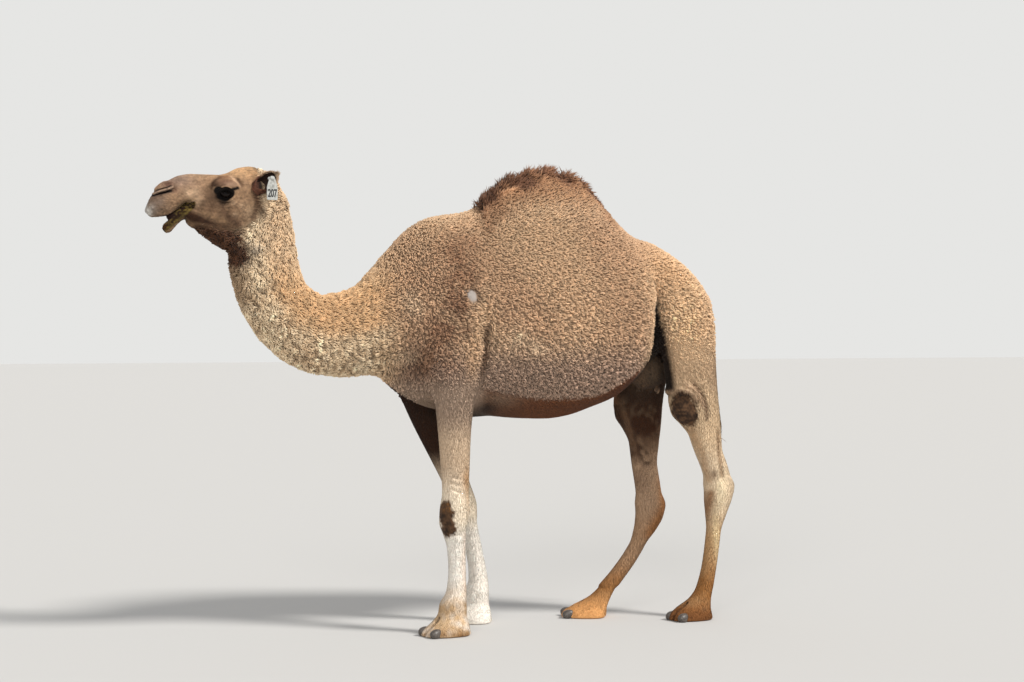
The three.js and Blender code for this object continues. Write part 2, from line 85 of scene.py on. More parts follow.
# Middle lines of the bent forms: X, Z, half depth, half width.
NECK = [(-500, 1400, 250, 175), (-600, 1365, 212, 166), (-660, 1342, 196, 155), (-712, 1326, 190, 144),
        (-794, 1312, 184, 130), (-884, 1313, 173, 117), (-968, 1342, 163, 108), (-1035, 1395, 156, 102),
        (-1088, 1462, 148, 98), (-1123, 1545, 147, 95), (-1142, 1640, 146, 92), (-1150, 1740, 142, 89),
        (-1140, 1835, 118, 82), (-1122, 1905, 80, 64)]
JAW = [(-1566, 1754, 13, 20), (-1552, 1765, 22, 30), (-1516, 1802, 20, 37), (-1474, 1830, 34, 46),
       (-1430, 1816, 52, 54), (-1354, 1778, 60, 64), (-1285, 1752, 76, 72), (-1215, 1748, 60, 66)]
TAIL = [(880, 1505, 40, 38), (940, 1462, 36, 33), (980, 1380, 27, 27), (994, 1250, 22, 24),
        (996, 1100, 21, 22),
        (1000, 990, 28, 30), (1014, 900, 25, 27), (1030, 838, 8, 10)]
# A leg's build: bones counted from the top, half depth ahead and behind, half width.
FORE = [(0, 55, 35, 20), (0.12, 98, 70, 56), (0.3, 124, 96, 78), (0.65, 132, 118, 88), (0.92, 130, 128, 84),
        (1.06, 113, 97, 76), (1.18, 91, 83, 68), (1.4, 77, 70, 59), (1.63, 64, 66, 54), (1.82, 56, 63, 52),
        (1.97, 66, 66, 62), (2.08, 68, 58, 62), (2.18, 53, 49, 54), (2.32, 33, 50, 41), (2.55, 26, 53, 35),
        (2.78, 34, 55, 41), (3.0, 64, 54, 58), (3.26, 72, 55, 62), (3.56, 105, 65, 76), (3.82, 142, 72, 88),
        (3.95, 150, 76, 91), (4, 145, 72, 87)]
HIND = [(0, 60, 60, 20), (0.08, 102, 102, 58), (0.24, 134, 128, 84), (0.46, 126, 126, 92),
        (0.7, 123, 121, 86),
        (0.9, 119, 120, 78), (1.0, 112, 119, 74), (1.12, 72, 112, 68), (1.26, 46, 97, 59), (1.5, 50, 72, 50),
        (1.76, 52, 73, 46), (1.9, 62, 88, 51), (2.05, 60, 74, 55), (2.2, 49, 50, 49), (2.35, 36, 31, 39),
        (2.65, 33, 36, 34), (2.88, 39, 36, 41), (3.14, 62, 34, 50), (3.5, 126, 39, 66), (3.78, 152, 52, 78),
        (3.95, 152, 60, 82), (4, 146, 57, 78)]
# Each leg's build, then its joints from the shoulder or hip to the ground: X, Y, Z.
LEGS = {
    "fore_left": (FORE, [(-350, -165, 1450), (-322, -162, 1100), (-325, -158, 530), (-326, -155, 135),
                         (-335, -155, 0)]),
    "fore_right": (FORE, [(-405, 160, 1440), (-388, 154, 1090), (-190, 142, 535), (-120, 137, 135),
                          (-127, 137, 0)]),
    "hind_left": (HIND, [(806, -100, 1510), (843, -140, 950), (962, -128, 575), (900, -122, 125),
                         (862, -122, 0)]),
    "hind_right": (HIND, [(770, 100, 1500), (676, 130, 925), (722, 112, 475), (505, 102, 122),
                          (432, 100, 0)]),
}
TOE_OUT = 0.26  # how far a foot turns outwards, in radians


def through(points, at):
    """A monotone cubic through (place, value) pairs: slopes are harmonic means, so it never overshoots."""
    x, y = np.array(points, float).T
    d = np.diff(y) / np.diff(x)
    m = np.concatenate([d[:1], np.zeros(len(x) - 2), d[-1:]])
    same = d[:-1] * d[1:] > 0
    m[1:-1][same] = 2 * (d[:-1] * d[1:])[same] / (d[:-1] + d[1:])[same]
    at = np.clip(at, x[0], x[-1])
    i = np.clip(np.searchsorted(x, at, "right") - 1, 0, len(x) - 2)
    h = x[i + 1] - x[i]
    t = (at - x[i]) / h
    rise = t * t * (3 - 2 * t)
    return y[i] * (1 - rise) + y[i + 1] * rise + t * (1 - t) * h * ((1 - t) * m[i] - t * m[i + 1])


def power(v, e):
    return np.sign(v) * np.abs(v) ** e


def closed(grid):
    """Quads over a grid of rings, with a fan of triangles to a middle point at each end."""
    rings, sides = grid.shape[:2]
    i = np.arange(rings - 1)[:, None] * sides + np.arange(sides)
    j = np.arange(rings - 1)[:, None] * sides + (np.arange(sides) + 1) % sides
    quads = np.stack([i, j, j + sides, i + sides], -1).reshape(-1, 4)
    n = rings * sides
    points = np.vstack([grid.reshape(-1, 3), grid[0].mean(0), grid[-1].mean(0)])
    s, s1 = np.arange(sides), (np.arange(sides) + 1) % sides
    first = np.stack([s1, s, np.full(sides, n)], -1)
    last = np.stack([n - sides + s, n - sides + s1, np.full(sides, n + 1)], -1)
    return points / 1000 + np.array([ALONG, 0, 0]), quads, np.vstack([first, last])


def softened(v, width):
    """A row of values averaged over a rounded window, with the ends carried on straight."""
    w = np.hanning(2 * width + 3)[1:-1]
    return np.convolve(np.pad(v, width, "reflect", reflect_type="odd"), w / w.sum(), "valid")


def relief(form, swells, soft, rings=160, sides=96):
    """Level sections across X between a top and a bottom line, with a half width at the widest height. The
    lines are softened over `soft` rings to each side."""
    x = np.linspace(form["top"][0][0], form["top"][-1][0], rings)
    lines = (softened(through(form[k], x), soft)[:, None] for k in ("top", "bottom", "half", "widest",
                                                                    "crest"))
    top, bottom, half, widest, crest = lines
    x, a = x[:, None], np.linspace(0, 2 * np.pi, sides, endpoint=False)[None]
    up, across = np.sin(a), np.cos(a)
    z = widest + up * np.where(up > 0, top - widest, widest - bottom)
    swell = sum(by * np.exp(-((x - sx) / rx) ** 2 - ((z - sz) / rz) ** 2) for sx, sz, rx, rz, by in swells)
    y = half * power(across, np.where(up > 0, crest, 0.92)) + across * swell
    return closed(np.stack([x + 0 * a, y, z], -1))


def bent(line, rings=120, sides=64):
    """Sections square to a smooth line in the XZ plane, with a half depth and a half width."""
    line = np.array(line, float)
    at = np.linspace(0, len(line) - 1, rings)
    keys = [list(zip(range(len(line)), line[:, k])) for k in range(4)]
    x, z, deep, wide = (through(k, at) for k in keys)
    x, z, deep, wide = (softened(v, 5) for v in (x, z, deep, wide))
    dx, dz = np.gradient(x), np.gradient(z)
    size = np.hypot(dx, dz)
    a = np.linspace(0, 2 * np.pi, sides, endpoint=False)[None]
    rise = deep[:, None] * power(np.sin(a), 0.94)
    return closed(np.stack([x[:, None] - rise * (dz / size)[:, None], wide[:, None] * power(np.cos(a), 0.94),
                            z[:, None] + rise * (dx / size)[:, None]], -1))


def leg(build, joints, rings=150, sides=56):
    """Level sections about a smooth line through the joints, deeper where the bones slope, turned out
    below."""
    at = np.linspace(0, 4, rings)
    x, y, z = (through([(i, j[k]) for i, j in enumerate(joints)], at) for k in range(3))
    ahead, behind, half = (through([(s[0], s[k]) for s in build], at) for k in (1, 2, 3))
    slope = np.where(at > 2.9, 0, np.gradient(x) / np.gradient(z))
    a = np.linspace(0, 2 * np.pi, sides, endpoint=False)[None]
    reach = np.where(np.cos(a) > 0, behind[:, None], ahead[:, None]) * np.hypot(1, slope)[:, None]
    px, py = reach * power(np.cos(a), 0.92), half[:, None] * power(np.sin(a), 0.92)
    turn = (-np.sign(joints[4][1]) * TOE_OUT * np.maximum(0, at - 3))[:, None]
    gx = x[:, None] + px * np.cos(turn) - py * np.sin(turn)
    gy = y[:, None] + px * np.sin(turn) + py * np.cos(turn)
    return closed(np.stack([gx, gy, z[:, None] + 0 * a], -1)[::-1])


def ball(at, radii, rings=24, sides=32):
    """An ellipsoid: rings of latitude scaled by three half sizes."""
    p = np.linspace(0.02, np.pi - 0.02, rings)[:, None]
    a = np.linspace(0, 2 * np.pi, sides, endpoint=False)[None]
    unit = np.stack([np.sin(p) * np.cos(a), np.sin(p) * np.sin(a), -np.cos(p) + 0 * a], -1)
    return closed(unit * np.array(radii) + np.array(at))


FORMS = {
    "trunk": relief(TRUNK, TRUNK_SWELLS, soft=5),
    "neck": bent(NECK),
    "head": relief(HEAD, HEAD_SWELLS, soft=2),
    "jaw": bent(JAW),
    "tail": bent(TAIL),
    "pad": ball((-215, 0, 985), (125, 92, 42)),
    "udder": ball((668, 0, 1142), (96, 84, 82)),
    "tongue": bent([(-1554, 1806, 8, 14), (-1538, 1815, 13, 21), (-1512, 1832, 14, 27), (-1478, 1858, 14, 34),
                    (-1450, 1868, 13, 36)], 40, 32),
}
FORMS.update({name: leg(*how) for name, how in LEGS.items()})
for teat_x in (636, 702):
    for teat_y in (-34, 34):
        FORMS["teat_%d_%d" % (teat_x, teat_y)] = ball((teat_x, teat_y, 1062), (13, 13, 24), 12, 12)
# How far each form melts into what it joins, in metres.
MELT = {"neck": 0.07, "head": 0.045, "jaw": 0.03, "tail": 0.03, "pad": 0.02, "udder": 0.03,
        "fore_left": 0.035, "fore_right": 0.035, "hind_left": 0.045, "hind_right": 0.045}

# ---------------------------------------------------------------- objects and meshes


def linked(name, data):
    """A new object in the scene, at the origin."""
    one = bpy.data.objects.new(name, data)
    bpy.context.scene.collection.objects.link(one)
    return one


def measured(one):
    """An object's finished mesh, modifiers and all, as points and triangles."""
    done = one.evaluated_get(bpy.context.evaluated_depsgraph_get()).to_mesh()
    done.calc_loop_triangles()
    p, t = np.empty(len(done.vertices) * 3), np.empty(len(done.loop_triangles) * 3, np.int32)
    done.vertices.foreach_get("co", p)
    done.loop_triangles.foreach_get("vertices", t)
    return p.reshape(-1, 3), t.reshape(-1, 3).astype(np.int64)


# ---------------------------------------------------------------- one body of flesh from the forms


def ease(a, b, x):
    """0 before a, 1 after b, and a smooth S between."""
    t = np.clip((x - a) / (b - a), 0, 1)
    return t * t * (3 - 2 * t)


def cells(low, high, h):
    """The first cell and the count along X, Y and Z of a grid of spacing h that holds a box."""
    first = np.floor(np.array(low) / h).astype(int)
    return first, np.ceil(np.array(high) / h).astype(int) - first + 1


def distance(form, h, first, count, reach=0.09):
    """Signed distance to a form over the grid, negative inside, cut off at `reach`."""
    points, quads, tris = form
    grid = vdb.FloatGrid.createLevelSetFromPolygons(
        points.astype(np.float32), triangles=tris.astype(np.uint32), quads=quads.astype(np.uint32),
        transform=vdb.createLinearTransform(voxelSize=h), halfWidth=reach / h)
    out = np.zeros(tuple(count), np.float32)
    grid.copyToArray(out, ijk=tuple(int(i) for i in first))
    return out


def melted(a, b, k):
    """The nearer of two distances, with the corner between them filled over a width k."""
    h = np.maximum(k - np.abs(a - b), 0) / k
    return np.minimum(a, b) - h * h * k / 4


def flesh(low, high, h, names):
    """All the named forms as one body on a grid: each leg, and the tail, melts into the body alone."""
    first, count = cells(low, high, h)
    x = ((first[0] + np.arange(count[0])) * h - ALONG)[:, None, None]
    body, parts = None, {}
    for name in names:
        near = distance(FORMS[name], h, first, count)
        parts[name] = near
        if body is None:
            body = near
        elif name == "tongue":
            body = np.minimum(body, near)
        elif name == "jaw":
            body = melted(body, near, 0.004 + 0.034 * ease(-1.47, -1.38, x))
        elif name in ("neck", "head", "pad"):
            body = melted(body, near, MELT[name])
    whole = body
    for name in names:
        if name in LEGS or name in ("tail", "udder") or name.startswith("teat"):
            whole = np.minimum(whole, melted(body, parts[name], MELT.get(name, 0.008)))
    return whole, first, count, parts


def sample(field, first, h, p):
    """The field's value at points, by straight-line mixing between the eight nearest grid points."""
    at = np.clip(p / h - first, 0, np.array(field.shape) - 1.001)
    i = at.astype(int)
    f = at - i
    out = 0
    for dx in (0, 1):
        for dy in (0, 1):
            for dz in (0, 1):
                w = np.abs(1 - dx - f[:, 0]) * np.abs(1 - dy - f[:, 1]) * np.abs(1 - dz - f[:, 2])
                out = out + w * field[i[:, 0] + dx, i[:, 1] + dy, i[:, 2] + dz]
    return out


def slope(field, first, h, p):
    """The unit direction in which the field grows, which on the surface points outwards."""
    g = np.stack([sample(field, first, h, p + d) - sample(field, first, h, p - d) for d in np.eye(3) * h], -1)
    return g / np.maximum(np.linalg.norm(g, axis=1, keepdims=True), 1e-9)


def spun(axis, angle):
    """The matrix that turns rows of points about an axis, 0 to 2 for X, Y and Z: p @ spun(axis, angle)."""
    i, j = (axis + 1) % 3, (axis + 2) % 3
    c, s = math.cos(angle), math.sin(angle)
    matrix = np.eye(3)
    matrix[i, i], matrix[i, j], matrix[j, i], matrix[j, j] = c, s, -s, c
    return matrix


def settle(p, field, first, h, turns=3):
    """Brings points onto the surface, where the field is zero, along its slope."""
    for _ in range(turns):
        p = p - sample(field, first, h, p)[:, None] * slope(field, first, h, p)
    return p


def faced(p, t, middle=(0, 0, 0)):
    """The triangles turned so that they face away from a middle point: six times the volume they close in,
    summed as a.(b x c) from that point, is positive."""
    a, b, c = (p[t[:, k]].astype(float) - middle for k in range(3))
    return t[:, ::-1] if np.einsum("ij,ij", a, np.cross(b, c)) < 0 else t


def shell(grid):
    """A closed grid of rings, in millimetres, as points in metres and triangles that face outwards."""
    p, quads, tris = closed(grid)
    return p, faced(p, np.vstack([quads[:, [0, 1, 2]], quads[:, [0, 2, 3]], tris]), p.mean(0))


def woven(a, b, step):
    """Two triangles for each cell of a grid, whose corners are points a and b and those `step` further on."""
    return np.vstack([np.stack([a, b, b + step], -1).reshape(-1, 3),
                      np.stack([a, b + step, a + step], -1).reshape(-1, 3)])


def surface(field, first, h):
    """The zero surface of a grid as points and triangles."""
    grid = vdb.FloatGrid()
    grid.transform = vdb.createLinearTransform(voxelSize=h)
    grid.copyFromArray(np.ascontiguousarray(field, np.float32), ijk=tuple(int(i) for i in first))
    points, quads = grid.convertToQuads(isovalue=0)
    quads = quads.astype(np.int64)
    tris = np.vstack([quads[:, [0, 1, 2]], quads[:, [0, 2, 3]]])
    return points.astype(float), faced(points, tris)


def refined(p, t, size, turns=3):
    """Halves every edge longer than size(its middle), until few are left; triangles split into 2, 3 or 4."""
    for _ in range(turns):
        edges = np.sort(np.stack([t, np.roll(t, -1, 1)], -1).reshape(-1, 2), 1)
        keys, which = np.unique(edges[:, 0] * (len(p) + 1) + edges[:, 1], return_inverse=True)
        ends = np.stack([keys // (len(p) + 1), keys % (len(p) + 1)], -1)
        middle = p[ends].mean(1)
        cut = np.linalg.norm(p[ends[:, 0]] - p[ends[:, 1]], axis=1) > 1.3 * size(middle)
        if not cut.any():
            break
        number = np.where(cut, len(p) + np.cumsum(cut) - 1, -1)
        m = number[which].reshape(-1, 3)  # the middle of each side, or -1
        p = np.vstack([p, middle[cut]])
        count = (m >= 0).sum(1)
        parts = [t[count == 0]]
        for n in (1, 2, 3):
            tt, mm = t[count == n], m[count == n]
            if not len(tt):
                continue
            # turn each triangle so that its first sides are the cut ones
            lead = np.where(mm[:, 0] < 0, 1, np.where(mm[:, 1] < 0, 2, 0))
            if n == 1:
                lead = np.argmax(mm >= 0, 1)
            turn = (lead[:, None] + np.arange(3)) % 3
            tt, mm = np.take_along_axis(tt, turn, 1), np.take_along_axis(mm, turn, 1)
            (a, b, c), (ab, bc, ca) = tt.T, mm.T
            parts += {1: [(a, ab, c), (ab, b, c)], 2: [(ab, b, bc), (a, ab, bc), (a, bc, c)],
                      3: [(a, ab, ca), (ab, b, bc), (ca, bc, c), (ab, bc, ca)]}[n]
        t = np.vstack([q if isinstance(q, np.ndarray) else np.stack(q, -1) for q in parts])
    return p, t


def relaxed(p, t, turns=2, by=0.5):
    """Moves each point part of the way to the mean of its neighbours."""
    edges = np.vstack([t[:, [0, 1]], t[:, [1, 2]], t[:, [2, 0]]])
    for _ in range(turns):
        total = np.zeros_like(p)
        for k in range(3):
            total[:, k] = (np.bincount(edges[:, 0], p[edges[:, 1], k], len(p))
                           + np.bincount(edges[:, 1], p[edges[:, 0], k], len(p)))
        count = np.bincount(edges.ravel(), minlength=len(p))
        p = p + by * (total / np.maximum(count, 1)[:, None] - p)
    return p


def outward(p, t):
    """Unit normals at the points, as the mean of the triangles round each."""
    n = np.cross(p[t[:, 1]] - p[t[:, 0]], p[t[:, 2]] - p[t[:, 0]])
    out = np.stack([sum(np.bincount(t[:, c], n[:, k], len(p)) for c in range(3)) for k in range(3)], -1)
    return out / np.maximum(np.linalg.norm(out, axis=1, keepdims=True), 1e-12)


def waves(seed, length, count=26, squeeze=(1, 1, 1)):
    """A soft random pattern with crests about `length` apart: a sum of plane waves in random directions."""
    r = np.random.default_rng(seed)
    k = r.normal(size=(count, 3))
    k = k / np.linalg.norm(k, axis=1, keepdims=True) * (2 * np.pi / length) * r.uniform(0.75, 1.3, (count, 1))
    k, phase = k * np.array(squeeze), r.uniform(0, 2 * np.pi, count)
    return lambda p: np.cos(p @ k.T + phase).sum(1) / math.sqrt(count / 2)


# ---------------------------------------------------------------- how deep the coat is, and where

CREASE = [(-0.30, 1.10), (-0.193, 1.071), (-0.054, 1.040), (0.134, 1.022), (0.326, 1.034), (0.447, 1.09),
          (0.56, 1.16)]


# The edge of the wool behind the cheek, as X at heights, and under the jaw, as heights along X.
CHEEK_EDGE = [(1.70, -1.40), (1.735, -1.33), (1.755, -1.28), (1.775, -1.225), (1.80, -1.185), (1.86, -1.162),
              (1.93, -1.160), (1.97, -1.160), (2.03, -1.180)]
THROAT_EDGE = [(-1.47, 1.70), (-1.435, 1.772), (-1.36, 1.757), (-1.28, 1.752), (-1.20, 1.78)]


def fleeced(x, y, z):
    """1 where the curly fleece grows, 0 on the face, belly, legs and feet; coordinates along the body."""
    belly = ease(-0.02, 0.03, z - through(CREASE, x))
    fore = ease(1.04, 1.24, z + 0.25 * np.clip(-x - 0.2, 0, 0.3))
    hind = ease(1.12, 1.42, z)
    low = np.where(x < -0.2, fore, np.where(x > 0.55, hind, belly))
    back = ease(-0.010, 0.022, np.maximum(x - through(CHEEK_EDGE, z), through(THROAT_EDGE, x) - z))
    ear = ease(0.050, 0.085, np.sqrt((x + 1.165) ** 2 + (np.abs(y) - 0.09) ** 2 + (z - 1.945) ** 2))
    scar = ease(0.22, 0.45, np.exp(-((x + 0.272) / 0.026) ** 2 - ((z - 1.480) / 0.032) ** 2)) * (y < -0.1)
    return low * np.where((x < -0.9) & (z > 1.0), back * ear, 1 - scar)


RIDGE = [(-0.16, 1.885), (-0.115, 1.945), (-0.06, 2.00), (0.04, 2.043), (0.16, 2.064), (0.27, 2.054),
         (0.37, 1.995), (0.46, 1.893)]


def below_ridge(x, z):
    """How far a point lies under the hump's top line."""
    return through(RIDGE, x) - z


def hump_crest(x, y, z):
    """1 on the ridge of the hump, where the long dark tufts stand."""
    reach = 1 - ease(0.050, 0.095, below_ridge(x, z) + 0.010 * np.sin(40 * x))
    return reach * ease(-0.20, -0.14, x) * (1 - ease(0.34, 0.46, x)) * (z > 1.8)


def depth(x, y, z):
    """The coat's depth in metres."""
    return 0.0015 + 0.0085 * fleeced(x, y, z) + 0.022 * hump_crest(x, y, z)

# ---------------------------------------------------------------- the skin

H, HEAD_H = 0.008, 0.0035  # the grids' spacing for the body and for the head
NAMES = ["trunk", "neck", "head", "jaw", "pad", "udder", "tail", *LEGS,
         *[n for n in FORMS if n.startswith("teat")]]
boxes = np.array([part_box(name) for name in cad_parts])
LOW, HIGH = boxes[:, 0].min(0) - 0.025, boxes[:, 1].max(0) + 0.025
OFF = np.array([ALONG, 0, 0])


def grid_axes(first, count, h):
    """The grid's coordinates along the body, across and up, ready to spread over it."""
    x, y, z = ((first[i] + np.arange(count[i])) * h for i in range(3))
    return (x - ALONG)[:, None, None], y[None, :, None], z[None, None, :]


def along_path(p, path):
    """Each point's distance to a line through `path`, and how far along it, 0 to 1, the nearest place is."""
    best, place = np.full(len(p), 9.0), np.zeros(len(p))
    for i, (a, b) in enumerate(zip(path[:-1], path[1:])):
        t = np.clip((p - a) @ (b - a) / max((b - a) @ (b - a), 1e-12), 0, 1)
        d = np.linalg.norm(p - a - t[:, None] * (b - a), axis=1)
        nearer = d < best
        best[nearer], place[nearer] = d[nearer], (i + t[nearer]) / (len(path) - 1)
    return best, place


def on_side(field, first, h, path, side):
    """Points X, Z of a path, carried in from one side to where they meet the surface."""
    y = np.linspace(0.34, 0, 340) * side  # a millimetre at a time, from clear of the flank
    out = []
    for x, z in path:
        p = np.stack([np.full(len(y), x + ALONG), y, np.full(len(y), z)], -1)
        inside = np.nonzero(sample(field, first, h, p) < 0)[0]
        out.append(p[inside[0]] if len(inside) else p[-1])
    return np.array(out)


def carved(field, first, h, marks):
    """Raises or sinks the surface along side paths: each changes the distances near it by a rounded hump."""
    last = np.array(field.shape) - 1
    for path, width, height, sides in marks:
        reach = 2.5 * width
        for side in sides:
            line = on_side(field, first, h, path, side)
            low = np.maximum(np.floor((line.min(0) - reach) / h).astype(int) - first, 0)
            high = np.minimum(np.ceil((line.max(0) + reach) / h).astype(int) - first, last)
            span = tuple(slice(a, b + 1) for a, b in zip(low, high))
            steps = np.meshgrid(*(np.arange(a, b + 1) for a, b in zip(low, high)), indexing="ij")
            p = (np.stack(steps, -1) + first) * h
            d, t = along_path(p.reshape(-1, 3), line)
            ends = 0.35 + 0.65 * np.sin(np.pi * np.clip(t, 0, 1)) ** 0.5
            field[span] -= (height * np.exp(-(d / width) ** 2) * ends).reshape(field[span].shape)
    return field


def pressed(p, n, field, first, h, marks):
    """Sinks or raises points along their normals by fine furrows and ridges along side paths."""
    move = np.zeros(len(p))
    for path, width, height, sides in marks:
        for side in sides:
            d, t = along_path(p, on_side(field, first, h, path, side))
            ends = np.sin(np.pi * np.clip(t, 0.04, 0.96)) ** 0.5
            move += height * np.exp(-(d / width) ** 2) * ends
    return p + n * move[:, None]


BOTH, NEAR, FAR = (-1, 1), (-1,), (1,)
# Furrows and ridges of the body: a side path X, Z, then width, height and the sides that have it.
FOLDS = [
    # behind the shoulder
    ([(-0.205, 1.46), (-0.205, 1.34), (-0.205, 1.22), (-0.225, 1.12)], 0.024, -0.024, BOTH),
    # and the muscle before it
    ([(-0.275, 1.50), (-0.270, 1.36), (-0.268, 1.24), (-0.285, 1.14)], 0.034, 0.012, BOTH),
    ([(-0.50, 1.47), (-0.51, 1.38), (-0.48, 1.28)], 0.05, 0.014, BOTH),  # point of the shoulder
    ([(-0.24, 1.12), (-0.193, 1.073), (-0.054, 1.038), (0.134, 1.02), (0.326, 1.032), (0.447, 1.088)], 0.018,
     -0.006, BOTH),
    ([(-0.50, 1.20), (-0.455, 1.10), (-0.40, 1.045)], 0.02, -0.008, BOTH),  # before the elbow
    ([(0.735, 1.00), (0.750, 0.955), (0.775, 0.905)], 0.030, 0.012, NEAR),  # callus of the stifle
    ([(-0.395, 0.60), (-0.40, 0.53), (-0.385, 0.46)], 0.024, 0.007, NEAR),  # pad on the knee
    ([(-0.18, 1.49), (-0.10, 1.30), (0.02, 1.16)], 0.05, 0.004, BOTH),  # rib cage
    # fold of the flank
    ([(0.610, 1.56), (0.640, 1.46), (0.648, 1.36), (0.650, 1.24), (0.660, 1.12)], 0.022, -0.034, BOTH),
    ([(0.935, 0.70), (0.965, 0.60), (0.985, 0.565)], 0.012, 0.004, NEAR),  # tendon over the hock
    # hollow before the tendon
    ([(0.943, 0.86), (0.952, 0.76), (0.965, 0.67), (0.975, 0.62)], 0.012, -0.011, NEAR),
    ([(0.868, 0.80), (0.900, 0.70), (0.920, 0.62)], 0.014, 0.004, NEAR),  # shin bone
    # hollow behind the knee
    ([(-0.285, 0.72), (-0.280, 0.62), (-0.276, 0.54), (-0.283, 0.46)], 0.010, -0.007, NEAR),
    ([(-0.345, 0.445), (-0.312, 0.435)], 0.010, -0.005, NEAR),  # under the knee
    ([(0.70, 0.66), (0.735, 0.55), (0.76, 0.49)], 0.010, -0.005, FAR),
    ([(-0.30, 0.46), (-0.303, 0.30), (-0.305, 0.19)], 0.008, -0.004, NEAR),  # between bone and tendon
    ([(-0.135, 0.45), (-0.105, 0.30), (-0.09, 0.19)], 0.008, -0.004, FAR),
    ([(0.955, 0.48), (0.925, 0.30), (0.90, 0.19)], 0.008, -0.004, NEAR),
    ([(0.68, 0.40), (0.60, 0.27), (0.535, 0.17)], 0.008, -0.004, FAR),
]

# Folds too fine for the grid, pressed into the finished mesh: two over the near stifle, then the wrinkles
# over the knee.
FINE_FOLDS = [
    ([(0.668, 0.995), (0.680, 1.030), (0.705, 1.053), (0.740, 1.060), (0.776, 1.054), (0.805, 1.036),
      (0.822, 1.010)],
     0.010, 0.016, NEAR),
    ([(0.700, 1.022), (0.740, 1.034), (0.780, 1.028), (0.800, 1.005)], 0.007, -0.008, NEAR),
    ([(0.765, 1.085), (0.794, 1.072), (0.822, 1.044), (0.845, 1.008), (0.855, 0.978)], 0.010, 0.016, NEAR),
    ([(0.790, 1.092), (0.825, 1.062), (0.858, 1.015), (0.872, 0.965)], 0.008, -0.008, NEAR),
    ([(-0.395, 0.622), (-0.350, 0.640), (-0.312, 0.622)], 0.006, -0.004, NEAR),
    ([(-0.390, 0.648), (-0.350, 0.664), (-0.308, 0.650)], 0.006, -0.0035, NEAR),
    ([(-0.385, 0.676), (-0.345, 0.690), (-0.305, 0.680)], 0.006, -0.003, NEAR),
]

# The same for the head.
HEAD_FORMS = [
    ([(-1.374, 1.946), (-1.345, 1.966), (-1.305, 1.974), (-1.268, 1.955)], 0.010, 0.006, BOTH),  # brow
    ([(-1.335, 1.992), (-1.275, 1.992)], 0.014, -0.004, BOTH),  # hollow over the brow
    ([(-1.41, 1.902), (-1.35, 1.872), (-1.27, 1.866)], 0.013, 0.005, BOTH),  # cheek bone
    ([(-1.31, 1.825), (-1.25, 1.80)], 0.036, 0.005, BOTH),  # jaw muscle
    ([(-1.240, 1.945), (-1.228, 1.87), (-1.248, 1.79)], 0.012, -0.005, BOTH),  # behind the jaw
    # wing of the nostril
    ([(-1.612, 1.924), (-1.590, 1.942), (-1.566, 1.956), (-1.540, 1.958)], 0.009, 0.006, BOTH),
    ([(-1.568, 1.943), (-1.548, 1.946)], 0.011, -0.008, BOTH),  # recess under it
    ([(-1.536, 1.916), (-1.527, 1.930)], 0.010, -0.006, BOTH),  # pocket behind it
    ([(-1.268, 1.972), (-1.257, 1.959), (-1.251, 1.946)], 0.009, -0.007, BOTH),  # hollow behind the lid
    # ridge down to the eye's corner
    ([(-1.298, 1.984), (-1.279, 1.960), (-1.262, 1.941)], 0.007, 0.005, BOTH),
    ([(-1.47, 1.945), (-1.42, 1.935)], 0.026, -0.004, BOTH),
    # full upper lip
    ([(-1.638, 1.842), (-1.615, 1.822), (-1.57, 1.822), (-1.54, 1.832)], 0.010, 0.004, BOTH),
    ([(-1.56, 1.85), (-1.51, 1.868), (-1.47, 1.892)], 0.009, -0.003, BOTH),
    ([(-1.483, 1.868), (-1.462, 1.880)], 0.008, -0.006, BOTH),  # corner of the mouth
    ([(-1.43, 1.800), (-1.36, 1.762), (-1.31, 1.735)], 0.012, 0.004, BOTH),  # edge of the jaw
]
# The nostril: the open slit, the pale flap along its top and the furrow over the flap.
SLIT = [(-1.614, 1.900), (-1.595, 1.908), (-1.569, 1.914), (-1.547, 1.920), (-1.536, 1.928)]
FLAP = [(-1.613, 1.907), (-1.595, 1.915), (-1.569, 1.922), (-1.549, 1.928), (-1.537, 1.935)]
OVER_FLAP = [(-1.609, 1.912), (-1.594, 1.922), (-1.577, 1.929), (-1.560, 1.933), (-1.544, 1.940)]
# Lines too fine for the grid, pressed into the finished mesh.
HEAD_LINES = [
    (SLIT, 0.0070, -0.018, BOTH),
    (FLAP, 0.0036, 0.0050, BOTH),
    (OVER_FLAP, 0.0036, -0.007, BOTH),
    ([(-1.638, 1.872), (-1.612, 1.862), (-1.58, 1.852)], 0.004, -0.0012, BOTH),
    ([(-1.632, 1.856), (-1.600, 1.846), (-1.57, 1.842)], 0.004, -0.0012, BOTH),
    ([(-1.600, 1.880), (-1.57, 1.876), (-1.54, 1.880)], 0.005, -0.0012, BOTH),
    ([(-1.50, 1.862), (-1.478, 1.884), (-1.46, 1.902)], 0.004, -0.0016, BOTH),
    ([(-1.492, 1.850), (-1.466, 1.868), (-1.45, 1.886)], 0.004, -0.0016, BOTH),
    ([(-1.255, 1.90), (-1.245, 1.86), (-1.262, 1.82)], 0.004, -0.0014, BOTH),
]

body, first, count, near = flesh(LOW, HIGH, H, NAMES)
x, y, z = grid_axes(first, count, H)
body = carved(body + depth(x, y, z).astype(np.float32), first, H, FOLDS)
# The body's own skin stops in the upper neck, where the head's finer skin goes on.
NECK_JOIN = 1.66
body_only = np.maximum(body, np.where(x < -0.9, z - NECK_JOIN - 0.03, -1).astype(np.float32))


